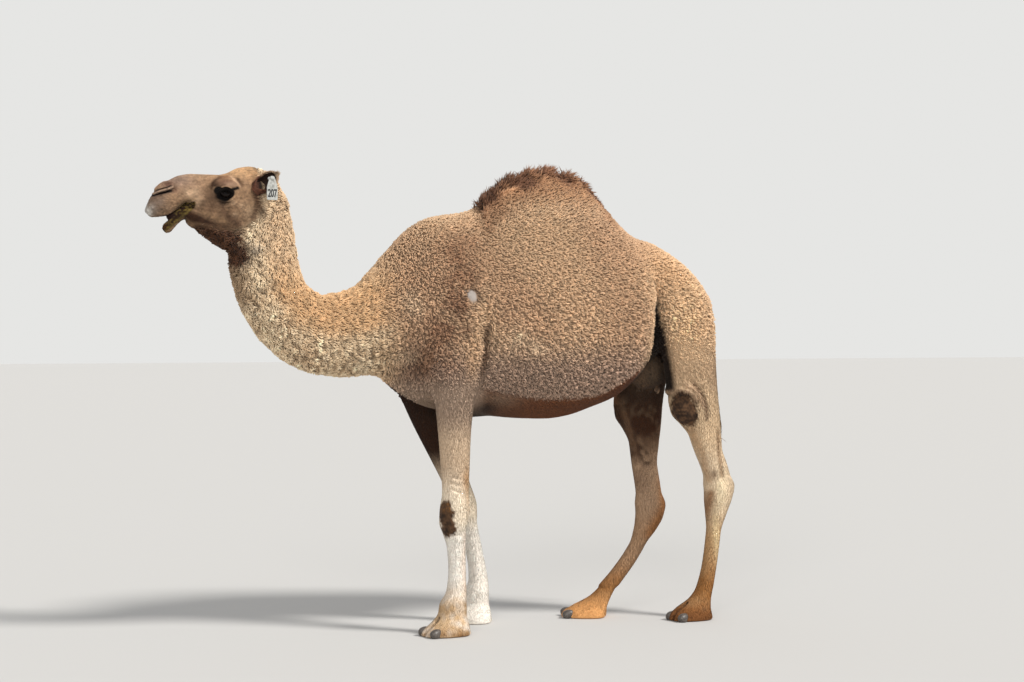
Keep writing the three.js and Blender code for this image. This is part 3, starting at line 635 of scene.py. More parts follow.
def fineness(p):
    """How long the skin's edges may be: short on feet, legs and the near stifle, longer under the fleece."""
    x, y, z = (p - OFF).T
    stifle = np.exp(-((x - 0.765) / 0.085) ** 2 - ((z - 1.01) / 0.08) ** 2) * (y < -0.12)
    legs, feet = 1 - ease(0.85, 1.10, z), 1 - ease(0.06, 0.11, z)
    return np.maximum(0.022 - 0.0105 * legs - 0.0052 * feet - 0.012 * stifle, 0.0045)


def about_foot(p, joints):
    """Where points along the body lie by a foot's own directions: along it from its middle, with the toes
    ahead at minus; across it; how far from the middle in plan; and how far the foot is turned."""
    at = np.array(joints[4]) / 1000
    turn = -np.sign(at[1]) * TOE_OUT
    d = p - at
    ahead = d[:, 0] * np.cos(turn) + d[:, 1] * np.sin(turn)
    across = -d[:, 0] * np.sin(turn) + d[:, 1] * np.cos(turn)
    return ahead, across, np.hypot(d[:, 0], d[:, 1]), turn


FOOT_REACH = 0.2  # nothing further than this from a foot's middle belongs to it
CLEFT = dict(deep=0.075, half=0.0105)


def cloven(p):
    """Opens the split between the toes: a wedge in plan, driven back into the front of each foot."""
    for build, joints in LEGS.values():
        toes = build[-2][1] / 1000
        ahead, across, far, turn = about_foot(p - OFF, joints)
        mine = (far < FOOT_REACH) & (p[:, 2] < 0.10)
        wedge = np.maximum(0, 1 - np.abs(across) / CLEFT["half"])
        deep = CLEFT["deep"] * wedge * (1 - ease(0.055, 0.085, p[:, 2]))
        back = np.where(mine & (ahead < -toes * 0.35), deep, 0)
        p = p + np.stack([back * np.cos(turn), back * np.sin(turn), 0 * back], -1)
    return p


def thinned(field, first, h):
    """The zero surface of every second grid point, which is what the skin is then refined from."""
    half = -(-first // 2)
    skip = half * 2 - first
    return surface(field[skip[0]::2, skip[1]::2, skip[2]::2], half, 2 * h)


skin_p, skin_t = thinned(body_only, first, H)
skin_p = settle(skin_p, body_only, first, H)
skin_p, skin_t = refined(skin_p, skin_t, fineness, 3)
skin_p = settle(relaxed(skin_p, skin_t, 3), body_only, first, H)
skin_p = pressed(skin_p, outward(skin_p, skin_t), body_only, first, H, FINE_FOLDS)
skin_p = cloven(skin_p)
skin_p[:, 2] = np.maximum(skin_p[:, 2], 0.0008)  # the soles are flat, just clear of the floor

# The head, on a finer grid.
HEAD_LOW, HEAD_HIGH = (ALONG - 1.70, -0.17, NECK_JOIN - 0.05), (ALONG - 0.99, 0.17, 2.09)
head, hfirst, hcount, hnear = flesh(HEAD_LOW, HEAD_HIGH, HEAD_H, ["neck", "head", "jaw", "tongue"])
x, y, z = grid_axes(hfirst, hcount, HEAD_H)
head = carved(head + depth(x, y, z).astype(np.float32), hfirst, HEAD_H, HEAD_FORMS)
head_only = np.maximum(head, (NECK_JOIN - 0.02 - z).astype(np.float32))

EYE_RADIUS = 0.025
EYES = {side: np.array([EYE_AT[name][0], side * (abs(EYE_AT[name][1]) - 0.0055), EYE_AT[name][2]])
        for side, name in ((-1, "left"), (1, "right"))}


def eye_axes(side):
    """The eye's own directions: outwards, along the head to the tail, and up."""
    out = np.array([-0.14, side, -0.04])
    out /= np.linalg.norm(out)
    back = np.array([1, 0, -0.10]) - out * (out @ [1, 0, -0.10])
    back /= np.linalg.norm(back)
    up = np.cross(back, out) * side
    return out, back, up if up[2] > 0 else -up


def head_fineness(p):
    """Short edges round the eyes, nostrils and lips, longer ones under the fleece."""
    x, y, z = (p - OFF).T
    face = 1 - ease(-1.24, -1.18, x)
    eye = np.exp(-((x + 1.32) / 0.055) ** 2 - ((z - 1.914) / 0.05) ** 2)
    nose = np.exp(-((x + 1.582) / 0.045) ** 2 - ((z - 1.920) / 0.03) ** 2)
    lips = np.exp(-((x + 1.56) / 0.10) ** 2 - ((z - 1.83) / 0.05) ** 2)
    return 0.0085 - 0.0030 * face - 0.0028 * np.clip(eye + 1.2 * nose + 0.6 * lips, 0, 1) * face


head_p, head_t = thinned(head_only, hfirst, HEAD_H)
head_p = settle(relaxed(head_p, head_t, 2), head_only, hfirst, HEAD_H, 3)
head_p, head_t = refined(head_p, head_t, head_fineness, 3)
head_p = settle(relaxed(head_p, head_t, 2), head_only, hfirst, HEAD_H, 2)
head_p = pressed(head_p, outward(head_p, head_t), head, hfirst, HEAD_H, HEAD_LINES)


def opening(phi):
    """The angle from the eye's axis to the lids' edge, all round: an almond, flatter above."""
    u, v = np.cos(phi), np.sin(phi)
    wide, tall = math.radians(62), np.where(v > 0, math.radians(54), math.radians(44))
    return 1 / (np.abs(u / wide) ** 1.9 + np.abs(v / tall) ** 1.9) ** (1 / 1.9)


LID_ROWS, LID_AROUND = 34, 96
# The lids' edge, row by row, turned in against the ball: its angle past the opening, in radians, and its height
# over the ball, in metres.
LID_EDGE = [(0.10, -0.0016), (0.035, 0.0002), (0.0, 0.0012), (0.004, 0.0024)]


def lids(side, around=LID_AROUND, rings=LID_ROWS):
    """Both lids of an eye as one ring-shaped sheet: each ring is a closed line round the eye's axis, from the
    edge against the ball out to the brow and cheek. Its radius is the ball's with the lid's thickness, then
    the face's own, with creases pressed in."""
    out, back, up = eye_axes(side)
    phi = np.linspace(0, 2 * np.pi, around, endpoint=False)
    aside = np.cos(phi)[:, None] * back + np.sin(phi)[:, None] * up
    steps = np.radians(np.linspace(0, 88, 89))
    ray = np.cos(steps)[None, :, None] * out + np.sin(steps)[None, :, None] * aside[:, None, :]
    radii = np.linspace(0.008, 0.075, 90)
    at = EYES[side] + radii[:, None, None, None] * ray
    inside = sample(head, hfirst, HEAD_H, at.reshape(-1, 3)).reshape(90, around, 89) < 0
    last = np.where(inside.any(0), 89 - np.argmax(inside[::-1], 0), 0)
    face = radii[np.minimum(last + 1, 89)]  # the face's distance from the eye's middle, by direction
    face = np.minimum.accumulate(face[:, ::-1], 1)[:, ::-1]
    start = opening(phi)
    stop = steps[np.minimum(np.argmax(face > 0.047, 1) + 88 * (face.max(1) <= 0.047), 80)]
    t = np.linspace(0, 1, rings)[None]
    theta = start[:, None] + (stop - start)[:, None] * t ** 1.25
    here = np.stack([np.interp(theta[i], steps, face[i]) for i in range(around)])
    here = np.stack([softened(np.concatenate([row[-6:], row, row[:6]]), 4)[6:-6] for row in here.T]).T
    upper = ease(-0.2, 0.5, np.sin(phi))[:, None]
    lid = EYE_RADIUS + 0.0030 + 0.0020 * upper + 0.0062 * upper * np.exp(-((t - 0.34) / 0.20) ** 2)
    r = -melted(-lid, -(here + 0.0004), 0.010)
    for deep, which, place, width in ((0.0018, upper, 0.20, 0.04), (0.0042, upper, 0.66, 0.06),
                                      (0.0026, 1 - upper, 0.30, 0.06), (0.0022, 1 - upper, 0.54, 0.05)):
        r = r - deep * which * np.exp(-((t - place) / width) ** 2)
    blend = ease(0.86, 1.0, t)
    r = r * (1 - blend) + (here - 0.0022) * blend
    theta = np.concatenate([np.stack([start + a for a, _ in LID_EDGE], 1), theta + 0.02], 1)
    r = np.concatenate([np.stack([np.full(around, EYE_RADIUS + b) for _, b in LID_EDGE], 1), r], 1)
    direction = np.cos(theta)[..., None] * out + np.sin(theta)[..., None] * aside[:, None, :]
    p = EYES[side] + r[..., None] * direction
    n = p.shape[1]
    i, j = np.meshgrid(np.arange(around), np.arange(n - 1), indexing="ij")
    p = p.reshape(-1, 3)
    return p, faced(p, woven(i * n + j, (i + 1) % around * n + j, 1), EYES[side])


def socketed(p):
    """Sinks the head's own skin out of sight under the lids and the eye."""
    for side in (-1, 1):
        out = eye_axes(side)[0]
        d = p - EYES[side]
        r = np.linalg.norm(d, axis=1)
        theta = np.degrees(np.arccos(np.clip(d @ out / np.maximum(r, 1e-9), -1, 1)))
        w = (1 - ease(50, 72, theta)) * (r < 0.06)
        under = (1 - ease(0.036, 0.043, r)) * (theta < 90)
        goal = np.minimum(r, 0.015) * w + (r - 0.003 * under) * (1 - w)
        p = EYES[side] + d * (goal / np.maximum(r, 1e-9))[:, None]
    return p


head_p = socketed(head_p)


# Ears: a curled leaf with a thick base, leaning back from the poll.
EAR = dict(root=(-1.196, 0.080, 1.918), length=0.132, turn=0.35, spread=0.2, lean=0.85)
EAR_RINGS, EAR_SIDES = 40, 36


def ear(side, rings=EAR_RINGS, sides=EAR_SIDES):
    """Crescents from the root to the tip: an outer arc and an inner arc a wall's thickness inside it. The arc
    opens from a closed tube at the root to a wide cup, and the rims curl in towards the tip."""
    t = np.linspace(0, 1, rings)[:, None]
    s = np.linspace(0, 2 * np.pi, sides, endpoint=False)[None]
    wide = 0.001 * through([(0, 21), (0.15, 27), (0.4, 38), (0.62, 38), (0.82, 29), (0.94, 18), (1, 8)], t)
    deep = 0.001 * through([(0, 20), (0.2, 25), (0.5, 26), (0.8, 17), (0.94, 10), (1, 4)], t)
    wall = 0.001 * through([(0, 15), (0.2, 9), (0.5, 5.5), (0.9, 3.5), (1, 2.5)], t)
    spread = np.radians(through([(0, 183), (0.12, 172), (0.3, 130), (0.6, 108), (0.85, 112), (1, 120)], t))
    # -1 to 1 along the outer arc, and back along the inner one
    turn = np.where(s < np.pi, s / np.pi * 2 - 1, 3 - s / np.pi * 2)
    inner = (s >= np.pi).astype(float)
    rim = np.sqrt(np.clip(1 - turn ** 8, 0, 1))
    a = turn * spread
    gone = wall * inner * rim
    x = (wide - gone) * np.sin(a)
    y = -(deep - gone) * np.cos(a) + 0.25 * deep + 0.006 * np.abs(turn) ** 6 * np.sin(np.pi * t)
    z = EAR["length"] * t + 0 * s - 0.012 * (1 - np.cos(a)) * t ** 6
    x = x + 0.0022 * np.sin(9 * t + 2.1) * np.abs(turn) ** 3
    grid = np.stack([x, y * side, z], -1)
    grid = grid @ spun(2, side * EAR["turn"]) @ spun(0, -side * EAR["spread"]) @ spun(1, EAR["lean"])
    x, y, z = EAR["root"]
    return shell((grid + np.array([x, side * y, z])) * 1000)


lid_parts = {side: lids(side) for side in (-1, 1)}
ear_parts = {side: ear(side) for side in (-1, 1)}


def welded(a, b):
    """Two closed skins as one: their union, with what lies inside it gone."""
    objects = []
    for p, t in (a, b):
        mesh = bpy.data.meshes.new("part")
        mesh.from_pydata(p.tolist(), [], t.tolist())
        objects.append(linked("part", mesh))
    union = objects[0].modifiers.new("union", "BOOLEAN")
    union.operation, union.solver, union.object = "UNION", "MANIFOLD", objects[1]
    joined = measured(objects[0])
    for one in objects:
        bpy.data.objects.remove(one)
    return joined


def together(parts):
    """Several (points, triangles) as one."""
    start = np.cumsum([0] + [len(p) for p, t in parts])
    return np.vstack([p for p, t in parts]), np.vstack([t + s for (p, t), s in zip(parts, start)])


hide_p, hide_t = welded((skin_p, skin_t), (head_p, head_t))
hide_n = outward(hide_p, hide_t)

# ---------------------------------------------------------------- markings


def linear(code):
    """An sRGB hex colour as linear red, green and blue."""
    v = np.array([int(code[i:i + 2], 16) for i in (1, 3, 5)]) / 255
    return np.where(v <= 0.04045, v / 12.92, ((v + 0.055) / 1.055) ** 2.4)


def spot(p, at, size, turn=0.0):
    """A soft patch: 1 in its middle, falling off with distance by its sizes along X, Y and Z, and tipped in
    the XZ plane by a turn."""
    d = p - np.stack([np.broadcast_to(v, len(p)) for v in at], -1)
    c, s = math.cos(turn), math.sin(turn)
    x, z = d[:, 0] * c + d[:, 2] * s, d[:, 2] * c - d[:, 0] * s
    return np.exp(-((x / size[0]) ** 2 + (d[:, 1] / size[1]) ** 2 + (z / size[2]) ** 2))


broad, middle, small, fine = waves(11, 0.42), waves(12, 0.13), waves(13, 0.04), waves(14, 0.013)
locks = waves(24, 0.030, 30, (1, 1, 0.42))  # locks hanging down the neck


# Bare pads on the near knee, the far knee and both stifles: middle, size and tilt.
PADS = [((-0.382, -0.195, 0.535), (0.036, 0.05, 0.056), 0.0),
        ((-0.365, -0.200, 0.468), (0.028, 0.05, 0.036), 0.0),
        ((-0.248, 0.142, 0.52), (0.03, 0.06, 0.06), 0.0),
        ((0.757, -0.22, 0.965), (0.060, 0.09, 0.088), 0.42), ((0.585, 0.21, 0.94),
        (0.050, 0.09, 0.080), 0.35)]


def side_distance(p, path):
    """How far points lie from a side path X, Z, whatever their distance from the middle."""
    flat = p * [1, 0, 1]
    return along_path(flat, np.array([(a, 0, b) for a, b in path], float))[0]


def neck_front(p):
    """How far points lie ahead of and under the neck's middle line, from the line itself."""
    line = np.array([(a, 0, b) for a, b, _, _ in NECK]) / 1000
    flat = p * [1, 0, 1]
    at = along_path(flat, line)[1] * (len(line) - 1)
    i = np.clip(at.astype(int), 0, len(line) - 2)
    way = line[i + 1] - line[i]
    d = flat - line[i]
    return (d[:, 0] * way[:, 2] - d[:, 2] * way[:, 0]) / np.linalg.norm(way, axis=1) * -1


def inward(p, name):
    """1 on a leg's front and inner sides, 0 on its outer side, by the leg's own middle line."""
    joints = np.array(LEGS[name][1][::-1]) / 1000
    mx, my = (through(np.stack([joints[:, 2], joints[:, k]], -1), p[:, 2]) for k in (0, 1))
    out = 0.34 * (p[:, 0] - mx) + 0.94 * (p[:, 1] - my) * np.sign(joints[0, 1])
    return 1 - ease(-0.015, 0.035, out)


def toe_gap(p, name):
    """1 in the split between a foot's toes: a thin upright wedge along the foot's own middle."""
    ahead, across, far, _ = about_foot(p, LEGS[name][1])
    mine = (far < FOOT_REACH) * (ahead < 0) * ease(0.030, 0.055, -ahead)
    return mine * np.exp(-(across / 0.0075) ** 2) * (1 - ease(0.070, 0.095, p[:, 2]))


def markings(p):
    """The animal's colours at points along the body: marks laid over each other, softly and unevenly."""
    x, y, z = p.T
    side = np.sign(y)
    blotch = 0.5 + 0.22 * middle(p) + 0.16 * small(p)
    col = np.tile(linear("#b69577"), (len(p), 1))

    def lay(code, weight):
        nonlocal col
        w = np.clip(weight, 0, 1)[:, None]
        col = col * (1 - w) + linear(code) * w

    def line(path, width):
        return np.exp(-(side_distance(p, path) / width) ** 2)

    lay("#c4a686", 0.5 + 0.4 * broad(p))
    trunk = ease(-0.62, -0.45, x) * ease(0.9, 1.05, z)
    lay("#b08b68", ease(1.84, 1.94, z) * trunk * (0.45 + 0.4 * blotch))
    under = below_ridge(x, z) + 0.012 * middle(p)
    ridge = ease(-0.21, -0.14, x) * (1 - ease(0.38, 0.50, x)) * (z > 1.75)
    lay("#93694b", 0.7 * (1 - ease(0.07, 0.18, under)) * ridge)
    lay("#664532", 0.9 * (1 - ease(0.040, 0.100, under)) * ridge)
    lay("#3c271c", 0.9 * (1 - ease(0.035, 0.080, under)) * ridge * (1 - ease(-0.01, 0.10, x))
        * (0.4 + 0.9 * blotch))
    lay("#9b8273", 0.8 * (1 - ease(1.14, 1.34, z)) * trunk * (1 - ease(0.5, 0.65, x)))
    lay("#967359", 1.0 * line([(-0.31, 1.66), (-0.34, 1.50), (-0.40, 1.35), (-0.45, 1.20)], 0.085)
        * (0.35 + 1.0 * blotch))
    for u, v, wide, high in ((-0.53, 1.45, 0.050, 0.050), (-0.70, 1.52, 0.045, 0.060),
                             (-0.69, 1.30, 0.050, 0.035),
                             (-0.54, 1.21, 0.050, 0.040), (-0.07, 1.30, 0.045, 0.050),
                             (0.02, 1.26, 0.050, 0.035)):
        lay("#d2bb9d", 0.62 * spot(p, (u, side * 0.25, v), (wide, 0.3, high)) * (0.4 + 1.1 * blotch))
    for u, v, wide, high in ((-0.35, 1.40, 0.040, 0.070), (-0.49, 1.16, 0.060, 0.040),
                             (-0.64, 1.31, 0.022, 0.080),
                             (-0.30, 1.32, 0.030, 0.050), (-0.75, 1.27, 0.050, 0.020)):
        lay("#745541", 0.70 * spot(p, (u, side * 0.25, v), (wide, 0.3, high)) * (0.2 + 1.3 * blotch))
    lay("#c9a684", 0.5 * spot(p, (0.15, side * 0.3, 1.45), (0.30, 0.4, 0.20)))
    lay("#c4a27f", 0.7 * spot(p, (-0.27, side * 0.25, 1.22), (0.04, 0.3, 0.12)))
    # painted shade in the furrow behind the shoulder
    lay("#543d2d", 0.85 * line([(-0.205, 1.34), (-0.207, 1.22), (-0.225, 1.10)], 0.020))
    lay("#e0bf98", 0.8 * spot(p, (0.77, side * 0.2, 1.36), (0.14, 0.4, 0.26)))
    lay("#cfa880", 0.6 * spot(p, (0.70, side * 0.2, 1.62), (0.16, 0.4, 0.12)))
    lay("#7a5b46", 0.6 * spot(p, (-0.50, side * 0.1, 1.14), (0.12, 0.4, 0.10)))
    # neck: tan and cream, with painted shade along its front edge
    neck = 1 - ease(-0.72, -0.52, x)
    lay("#d0ab80", 0.8 * neck)
    lay("#dac6ab", neck * 0.45 * ease(1.48, 1.70, z))
    lay("#b08c66", 0.9 * spot(p, (-1.165, 0, 2.005), (0.05, 0.10, 0.05)))
    ahead = neck_front(p)
    streak = locks(p)
    lay("#d6c1a2", neck * ease(-0.04, 0.05, ahead) * (0.55 + 0.45 * blotch))
    # painted highlights on the locks down the neck's front, and painted shade between them
    lay("#ecdabd", neck * ease(-0.02, 0.05, ahead) * 0.35 * ease(0.2, 1.3, streak))
    lay("#8f7255", neck * ease(-0.02, 0.06, ahead) * 0.40 * ease(0.3, 1.5, -streak - 0.5 * middle(p)))
    lay("#8f7458", neck * 0.75 * ease(0.07, 0.13, ahead) * ease(1.38, 1.5, z))
    throat = (x < -1.12) * line([(-1.45, 1.785), (-1.36, 1.742), (-1.29, 1.705), (-1.262, 1.655)], 0.046)
    lay("#523523", 1.45 * throat * (0.60 + 0.7 * blotch))
    lay("#3d271a", 0.8 * throat * ease(0.2, 1.2, small(p) + 0.4 * fine(p)))
    # belly under the fleece
    below = (1 - ease(-0.01, 0.02, z - through(CREASE, x))) * ease(-0.30, -0.20, x)
    below = below * (1 - ease(0.52, 0.62, x)) * ease(0.85, 0.92, z)
    lay("#73462a", below)
    lay("#85491a", below * ease(0.0, 0.08, through(CREASE, x) - z - 0.03) * ease(-0.05, 0.35, x))
    lay("#8f7864", below * 0.7 * spot(p, (-0.12, side * 0.2, 1.03), (0.10, 0.3, 0.05)))
    lay("#2c1a10", spot(p, (-0.17, side * 0.16, 0.985), (0.05, 0.2, 0.03)))
    # fore legs
    behind_fore = ease(-0.03, 0.03, x - through([(0.90, 0.05), (0.97, -0.19)], z))
    fore = ease(-0.60, -0.56, x) * (1 - behind_fore) * (z < 1.25)
    lay("#ac9480", fore * (1 - ease(1.05, 1.18, z)) * 0.9)
    lay("#d3b99c", fore * (1 - ease(0.82, 0.98, z)))
    lay("#f5e4cc", fore * (1 - ease(0.58, 0.76, z)))
    lay("#fdf4e8", fore * (1 - ease(0.40, 0.52, z)))
    lay("#e3b99c", fore * 0.30 * line([(-0.283, 0.44), (-0.290, 0.30), (-0.285, 0.20)], 0.014))
    lay("#cdae88", fore * (y < 0) * (1 - ease(0.12, 0.26, z)) * (0.35 + 0.8 * blotch))
    lay("#8f6c48", fore * (y < 0) * 0.8 * (1 - ease(0.01, 0.06, z)) * (0.2 + blotch))
    lay("#bb8f62", fore * 0.8 * spot(p, (-0.280, -0.17, 0.68), (0.025, 0.2, 0.05)))
    # painted shadow on the far fore leg's front and inner sides, high up
    lay("#2f1808", fore * (y > 0) * ease(0.62, 0.80, z) * inward(p, "fore_right") * (1 - ease(1.10, 1.22, z)))
    lay("#caa67c", fore * 0.8 * spot(p, (-0.25, -0.17, 0.62), (0.04, 0.2, 0.08)))
    # hind legs
    hind = ease(-0.03, 0.03, x - through([(0.93, 0.20), (0.99, 0.58)], z)) * (z < 1.2)
    lay("#dfc29e", hind * (1 - ease(0.98, 1.16, z)))
    lay("#e4ccad", hind * (1 - ease(0.68, 0.86, z)))
    lay("#c29c70", hind * (1 - ease(0.36, 0.54, z)))
    lay("#9d6c3c", hind * (1 - ease(0.17, 0.34, z)) * (0.70 + 0.4 * blotch))
    lay("#6b4120", hind * (y < 0) * (1 - ease(0.02, 0.12, z)) * 0.85)
    lay("#f6e2bf", hind * 0.9 * spot(p, (0.960, -0.15, 0.60), (0.035, 0.2, 0.10)))
    lay("#efd6a8", hind * 0.8 * spot(p, (0.945, -0.15, 0.38), (0.018, 0.2, 0.12), 0.1))
    lay("#8a5a30", hind * (y < 0) * 0.8 * line([(0.915, 0.58), (0.893, 0.42), (0.872, 0.25)], 0.018))
    lay("#6d4a30", hind * 0.7 * spot(p, (0.925, -0.15, 0.665), (0.020, 0.2, 0.025)))
    outer = hind * (1 - ease(-0.145, -0.125, y))
    # painted shade in the hollow before the tendon over the hock
    lay("#8d6b4c", outer * 0.75 * line([(0.943, 0.86), (0.952, 0.76), (0.968, 0.66)], 0.011))
    lay("#a98058", outer * 0.5 * line([(0.80, 0.90), (0.87, 0.76), (0.905, 0.64)], 0.012))
    far = (y > 0.02) * ease(0.17, 0.23, x)
    # painted shadow over the far hind leg's front and inner sides, with darker and paler lines in it
    shade = far * hind * inward(p, "hind_right") * (1 - ease(1.04, 1.16, z))
    lay("#a58468", far * (1 - ease(0.86, 1.0, z)) * ease(0.12, 0.3, z) * 0.85)
    lay("#a56c38", far * 0.8 * line([(0.800, 0.62), (0.790, 0.50), (0.720, 0.38)], 0.035))
    lay("#3f2412", shade * ease(0.66, 0.88, z) * (0.85 + 0.3 * blotch))
    lay("#2a170b", shade * 0.8 * line([(0.60, 0.90), (0.655, 0.80), (0.70, 0.72)], 0.026)
        * ease(0.0, 1.0, small(p) + 0.6))
    lay("#85664c", shade * 0.6 * line([(0.575, 0.98), (0.605, 0.89), (0.64, 0.80)], 0.012))
    lay("#4e3423", shade * 0.8 * spot(p, (0.66, 0.1, 0.70), (0.03, 0.2, 0.12), 0.2) * (0.3 + blotch))
    # painted shade between the hind legs, under the flank
    between = ease(0.46, 0.54, x) * (1 - ease(0.09, 0.14, np.abs(y))) * ease(0.92, 1.06, z)
    lay("#3d2a1d", between * (1 - ease(1.30, 1.42, z)) * (1 - ease(0.78, 0.86, x)))
    lay("#dba166", far * (1 - ease(0.03, 0.14, z)) * (0.6 + 0.5 * blotch))
    # painted shadow in the deep fold between the barrel and the near thigh, faint on the far side
    flank_fold_shadow = 1.5 * line([(0.625, 1.44), (0.640, 1.37), (0.650, 1.24), (0.662, 1.12), (0.672, 1.03)], 0.021)
    lay("#160d07", flank_fold_shadow * (np.abs(y) > 0.06) * np.where(y < 0, 1, 0.2))
    flank_fold_shadow = 1.5 * line([(0.640, 1.40), (0.662, 1.34), (0.686, 1.24), (0.700, 1.12), (0.706, 1.05)], 0.019)
    lay("#1c110a", flank_fold_shadow * (y < -0.06))
    # painted shade in the split between the toes
    for name in LEGS:
        lay("#33221a", 0.85 * toe_gap(p, name))
    # folds round the near stifle, paler along their crests, with painted shadow behind the upper one, then the
    # bare, dark pads
    lay("#caa98a", 0.9 * (y < 0) * line([(0.672, 1.010), (0.691, 1.041), (0.731, 1.053), (0.776, 1.050),
                                         (0.816, 1.016)], 0.010))
    lay("#d0ae8e", 0.9 * (y < 0) * line([(0.767, 1.081), (0.794, 1.068), (0.820, 1.039), (0.854, 0.982)],
                                        0.009))
    lay("#6b4c36", 0.8 * (y < 0) * line([(0.800, 1.086), (0.832, 1.050), (0.866, 0.990), (0.870, 0.930)],
                                        0.011))
    lay("#a08468", 0.7 * spot(p, (0.65, 0, 1.14), (0.06, 0.09, 0.07)))  # udder
    for at, size, tip in PADS:
        pad = spot(p, at, size, tip) + 0.05 * small(p) + 0.05 * fine(p)
        lay("#5f4530", ease(0.22, 0.38, pad))
        lay("#2a1d14", ease(0.36, 0.52, pad) * (0.60 + 0.30 * fine(p) + 0.25 * small(p)))
        knee = 0.5 < at[2] < 0.6  # the near knee's upper pad is browner above its middle
        browner = ease(0.30, 0.5, pad) * 0.9 * ease(-0.01, 0.03, z - at[2]) * knee
        lay("#7d5631", browner * ease(-0.6, 1.0, small(p) + fine(p)))
    lay("#3d332b", 1.3 * (1 - ease(0.985, 1.01, z)) * spot(p, (-0.215, 0, 0.96), (0.13, 0.11, 0.06)))
    # tail
    lay("#bd9c72", (x > 0.93) * (np.abs(y) < 0.06) * (z > 0.82) * 0.9)
    lay("#7d5f41", (x > 0.95) * (np.abs(y) < 0.06) * (1 - ease(0.95, 1.1, z)) * (z > 0.8) * blotch)
    # head
    past_wool = np.maximum(x - through(CHEEK_EDGE, z), through(THROAT_EDGE, x) - z)
    face = (1 - ease(-0.030, 0.010, past_wool)) * (z > 1.70)
    lay("#a88768", face)
    lay("#c8a27a", face * ease(1.955, 2.01, z) * ease(-1.34, -1.27, x))
    lay("#bf9d7b", face * 0.9 * spot(p, (-1.42, 0, 1.985), (0.08, 0.07, 0.03)))
    lay("#917c70", face * 0.95 * spot(p, (-1.52, 0, 1.965), (0.08, 0.2, 0.035)) * (0.8 + 0.3 * blotch))
    lay("#b4957a", face * 0.7 * spot(p, (-1.46, 0, 1.915), (0.06, 0.2, 0.045)))
    lay("#7f6c5d", face * 1.1 * spot(p, (-1.605, 0, 1.865), (0.05, 0.2, 0.055)) * (0.7 + 0.5 * blotch))
    lay("#7b5f4a", face * 0.8 * spot(p, (-1.385, 0, 1.86), (0.05, 0.2, 0.035)))
    lay("#aa8a6d", face * 0.7 * spot(p, (-1.375, 0, 1.812), (0.055, 0.2, 0.018)))
    lay("#c3a585", face * 0.9 * spot(p, (-1.225, 0, 1.825), (0.035, 0.2, 0.050)) * (0.6 + 0.7 * blotch))
    lay("#765a44", face * 0.8 * spot(p, (-1.285, 0, 1.80), (0.040, 0.2, 0.05)))
    lay("#6b4f3c", face * 0.6 * line([(-1.200, 1.92), (-1.190, 1.86), (-1.205, 1.80)], 0.012))
    for u, v, wide in ((-1.252, 1.858, 0.016), (-1.233, 1.826, 0.014), (-1.290, 1.871, 0.012),
                       (-1.214, 1.840, 0.010),
                       (-1.281, 1.822, 0.013), (-1.435, 1.878, 0.024), (-1.445, 1.917, 0.020),
                       (-1.473, 1.912, 0.016)):
        lay("#d0b292", 0.55 * face * spot(p, (u, 0, v), (wide, 0.2, wide)) * (0.5 + 0.9 * blotch))
    lay("#64493a", face * 0.55 * line([(-1.340, 1.872), (-1.330, 1.835), (-1.300, 1.806), (-1.262, 1.783)],
                                      0.012))
    # painted shade in the crease running down from the ear's base
    lay("#5c3d29", 0.65 * line([(-1.196, 1.900), (-1.180, 1.872), (-1.166, 1.835)], 0.011) * (z < 1.93))
    lay("#b8946f", face * 0.6 * line([(-1.410, 1.830), (-1.368, 1.811), (-1.320, 1.793)], 0.008))
    lay("#3c2516", face * 1.15 * line([(-1.47, 1.820), (-1.418, 1.793), (-1.37, 1.770), (-1.315, 1.756),
                                       (-1.25, 1.748)], 0.028))
    lay("#8a8076", 0.6 * spot(p, (-1.186, side * 0.1, 1.686), (0.020, 0.2, 0.020)))
    cup = ease(0.22, 0.42, spot(p, (-1.186, side * 0.1, 1.948), (0.022, 0.07, 0.024)))
    lay("#6e4838", cup)
    lay("#20130d", cup * ease(-1.188, -1.174, x))
    lay("#d8d2ca", 1.5 * face * spot(p, (-1.638, 0, 1.832), (0.024, 0.08, 0.022)) * (0.6 + 0.5 * blotch))
    col = col * (1 + face * (0.075 * fine(p) + 0.07 * small(p) + 0.03 * middle(p)))[:, None]
    # round the eye: painted shade before and under it, the lid's hood, its folds, and the dark rim, painted
    # near-black as the wet rim and the shadow of the hood and lashes
    lay("#6b5240", face * 0.9 * spot(p, (-1.385, side * 0.1, 1.905), (0.034, 0.06, 0.028), 0.3))
    lay("#3a281d", 0.95 * face * spot(p, (-1.345, side * 0.1, 1.893), (0.040, 0.06, 0.020), -0.1))
    lay("#33251c", 0.9 * face * spot(p, (-1.326, side * 0.1, 1.872), (0.026, 0.06, 0.016)))
    hood = face * ease(1.934, 1.942, z)
    lay("#84624e", hood * 1.2 * spot(p, (-1.322, side * 0.1, 1.955), (0.048, 0.06, 0.017)))
    lay("#c4a186", hood * 1.0 * spot(p, (-1.298, side * 0.1, 1.949), (0.030, 0.06, 0.010)))
    lay("#3d2a20", hood * 1.0 * spot(p, (-1.366, side * 0.1, 1.944), (0.018, 0.06, 0.014)))
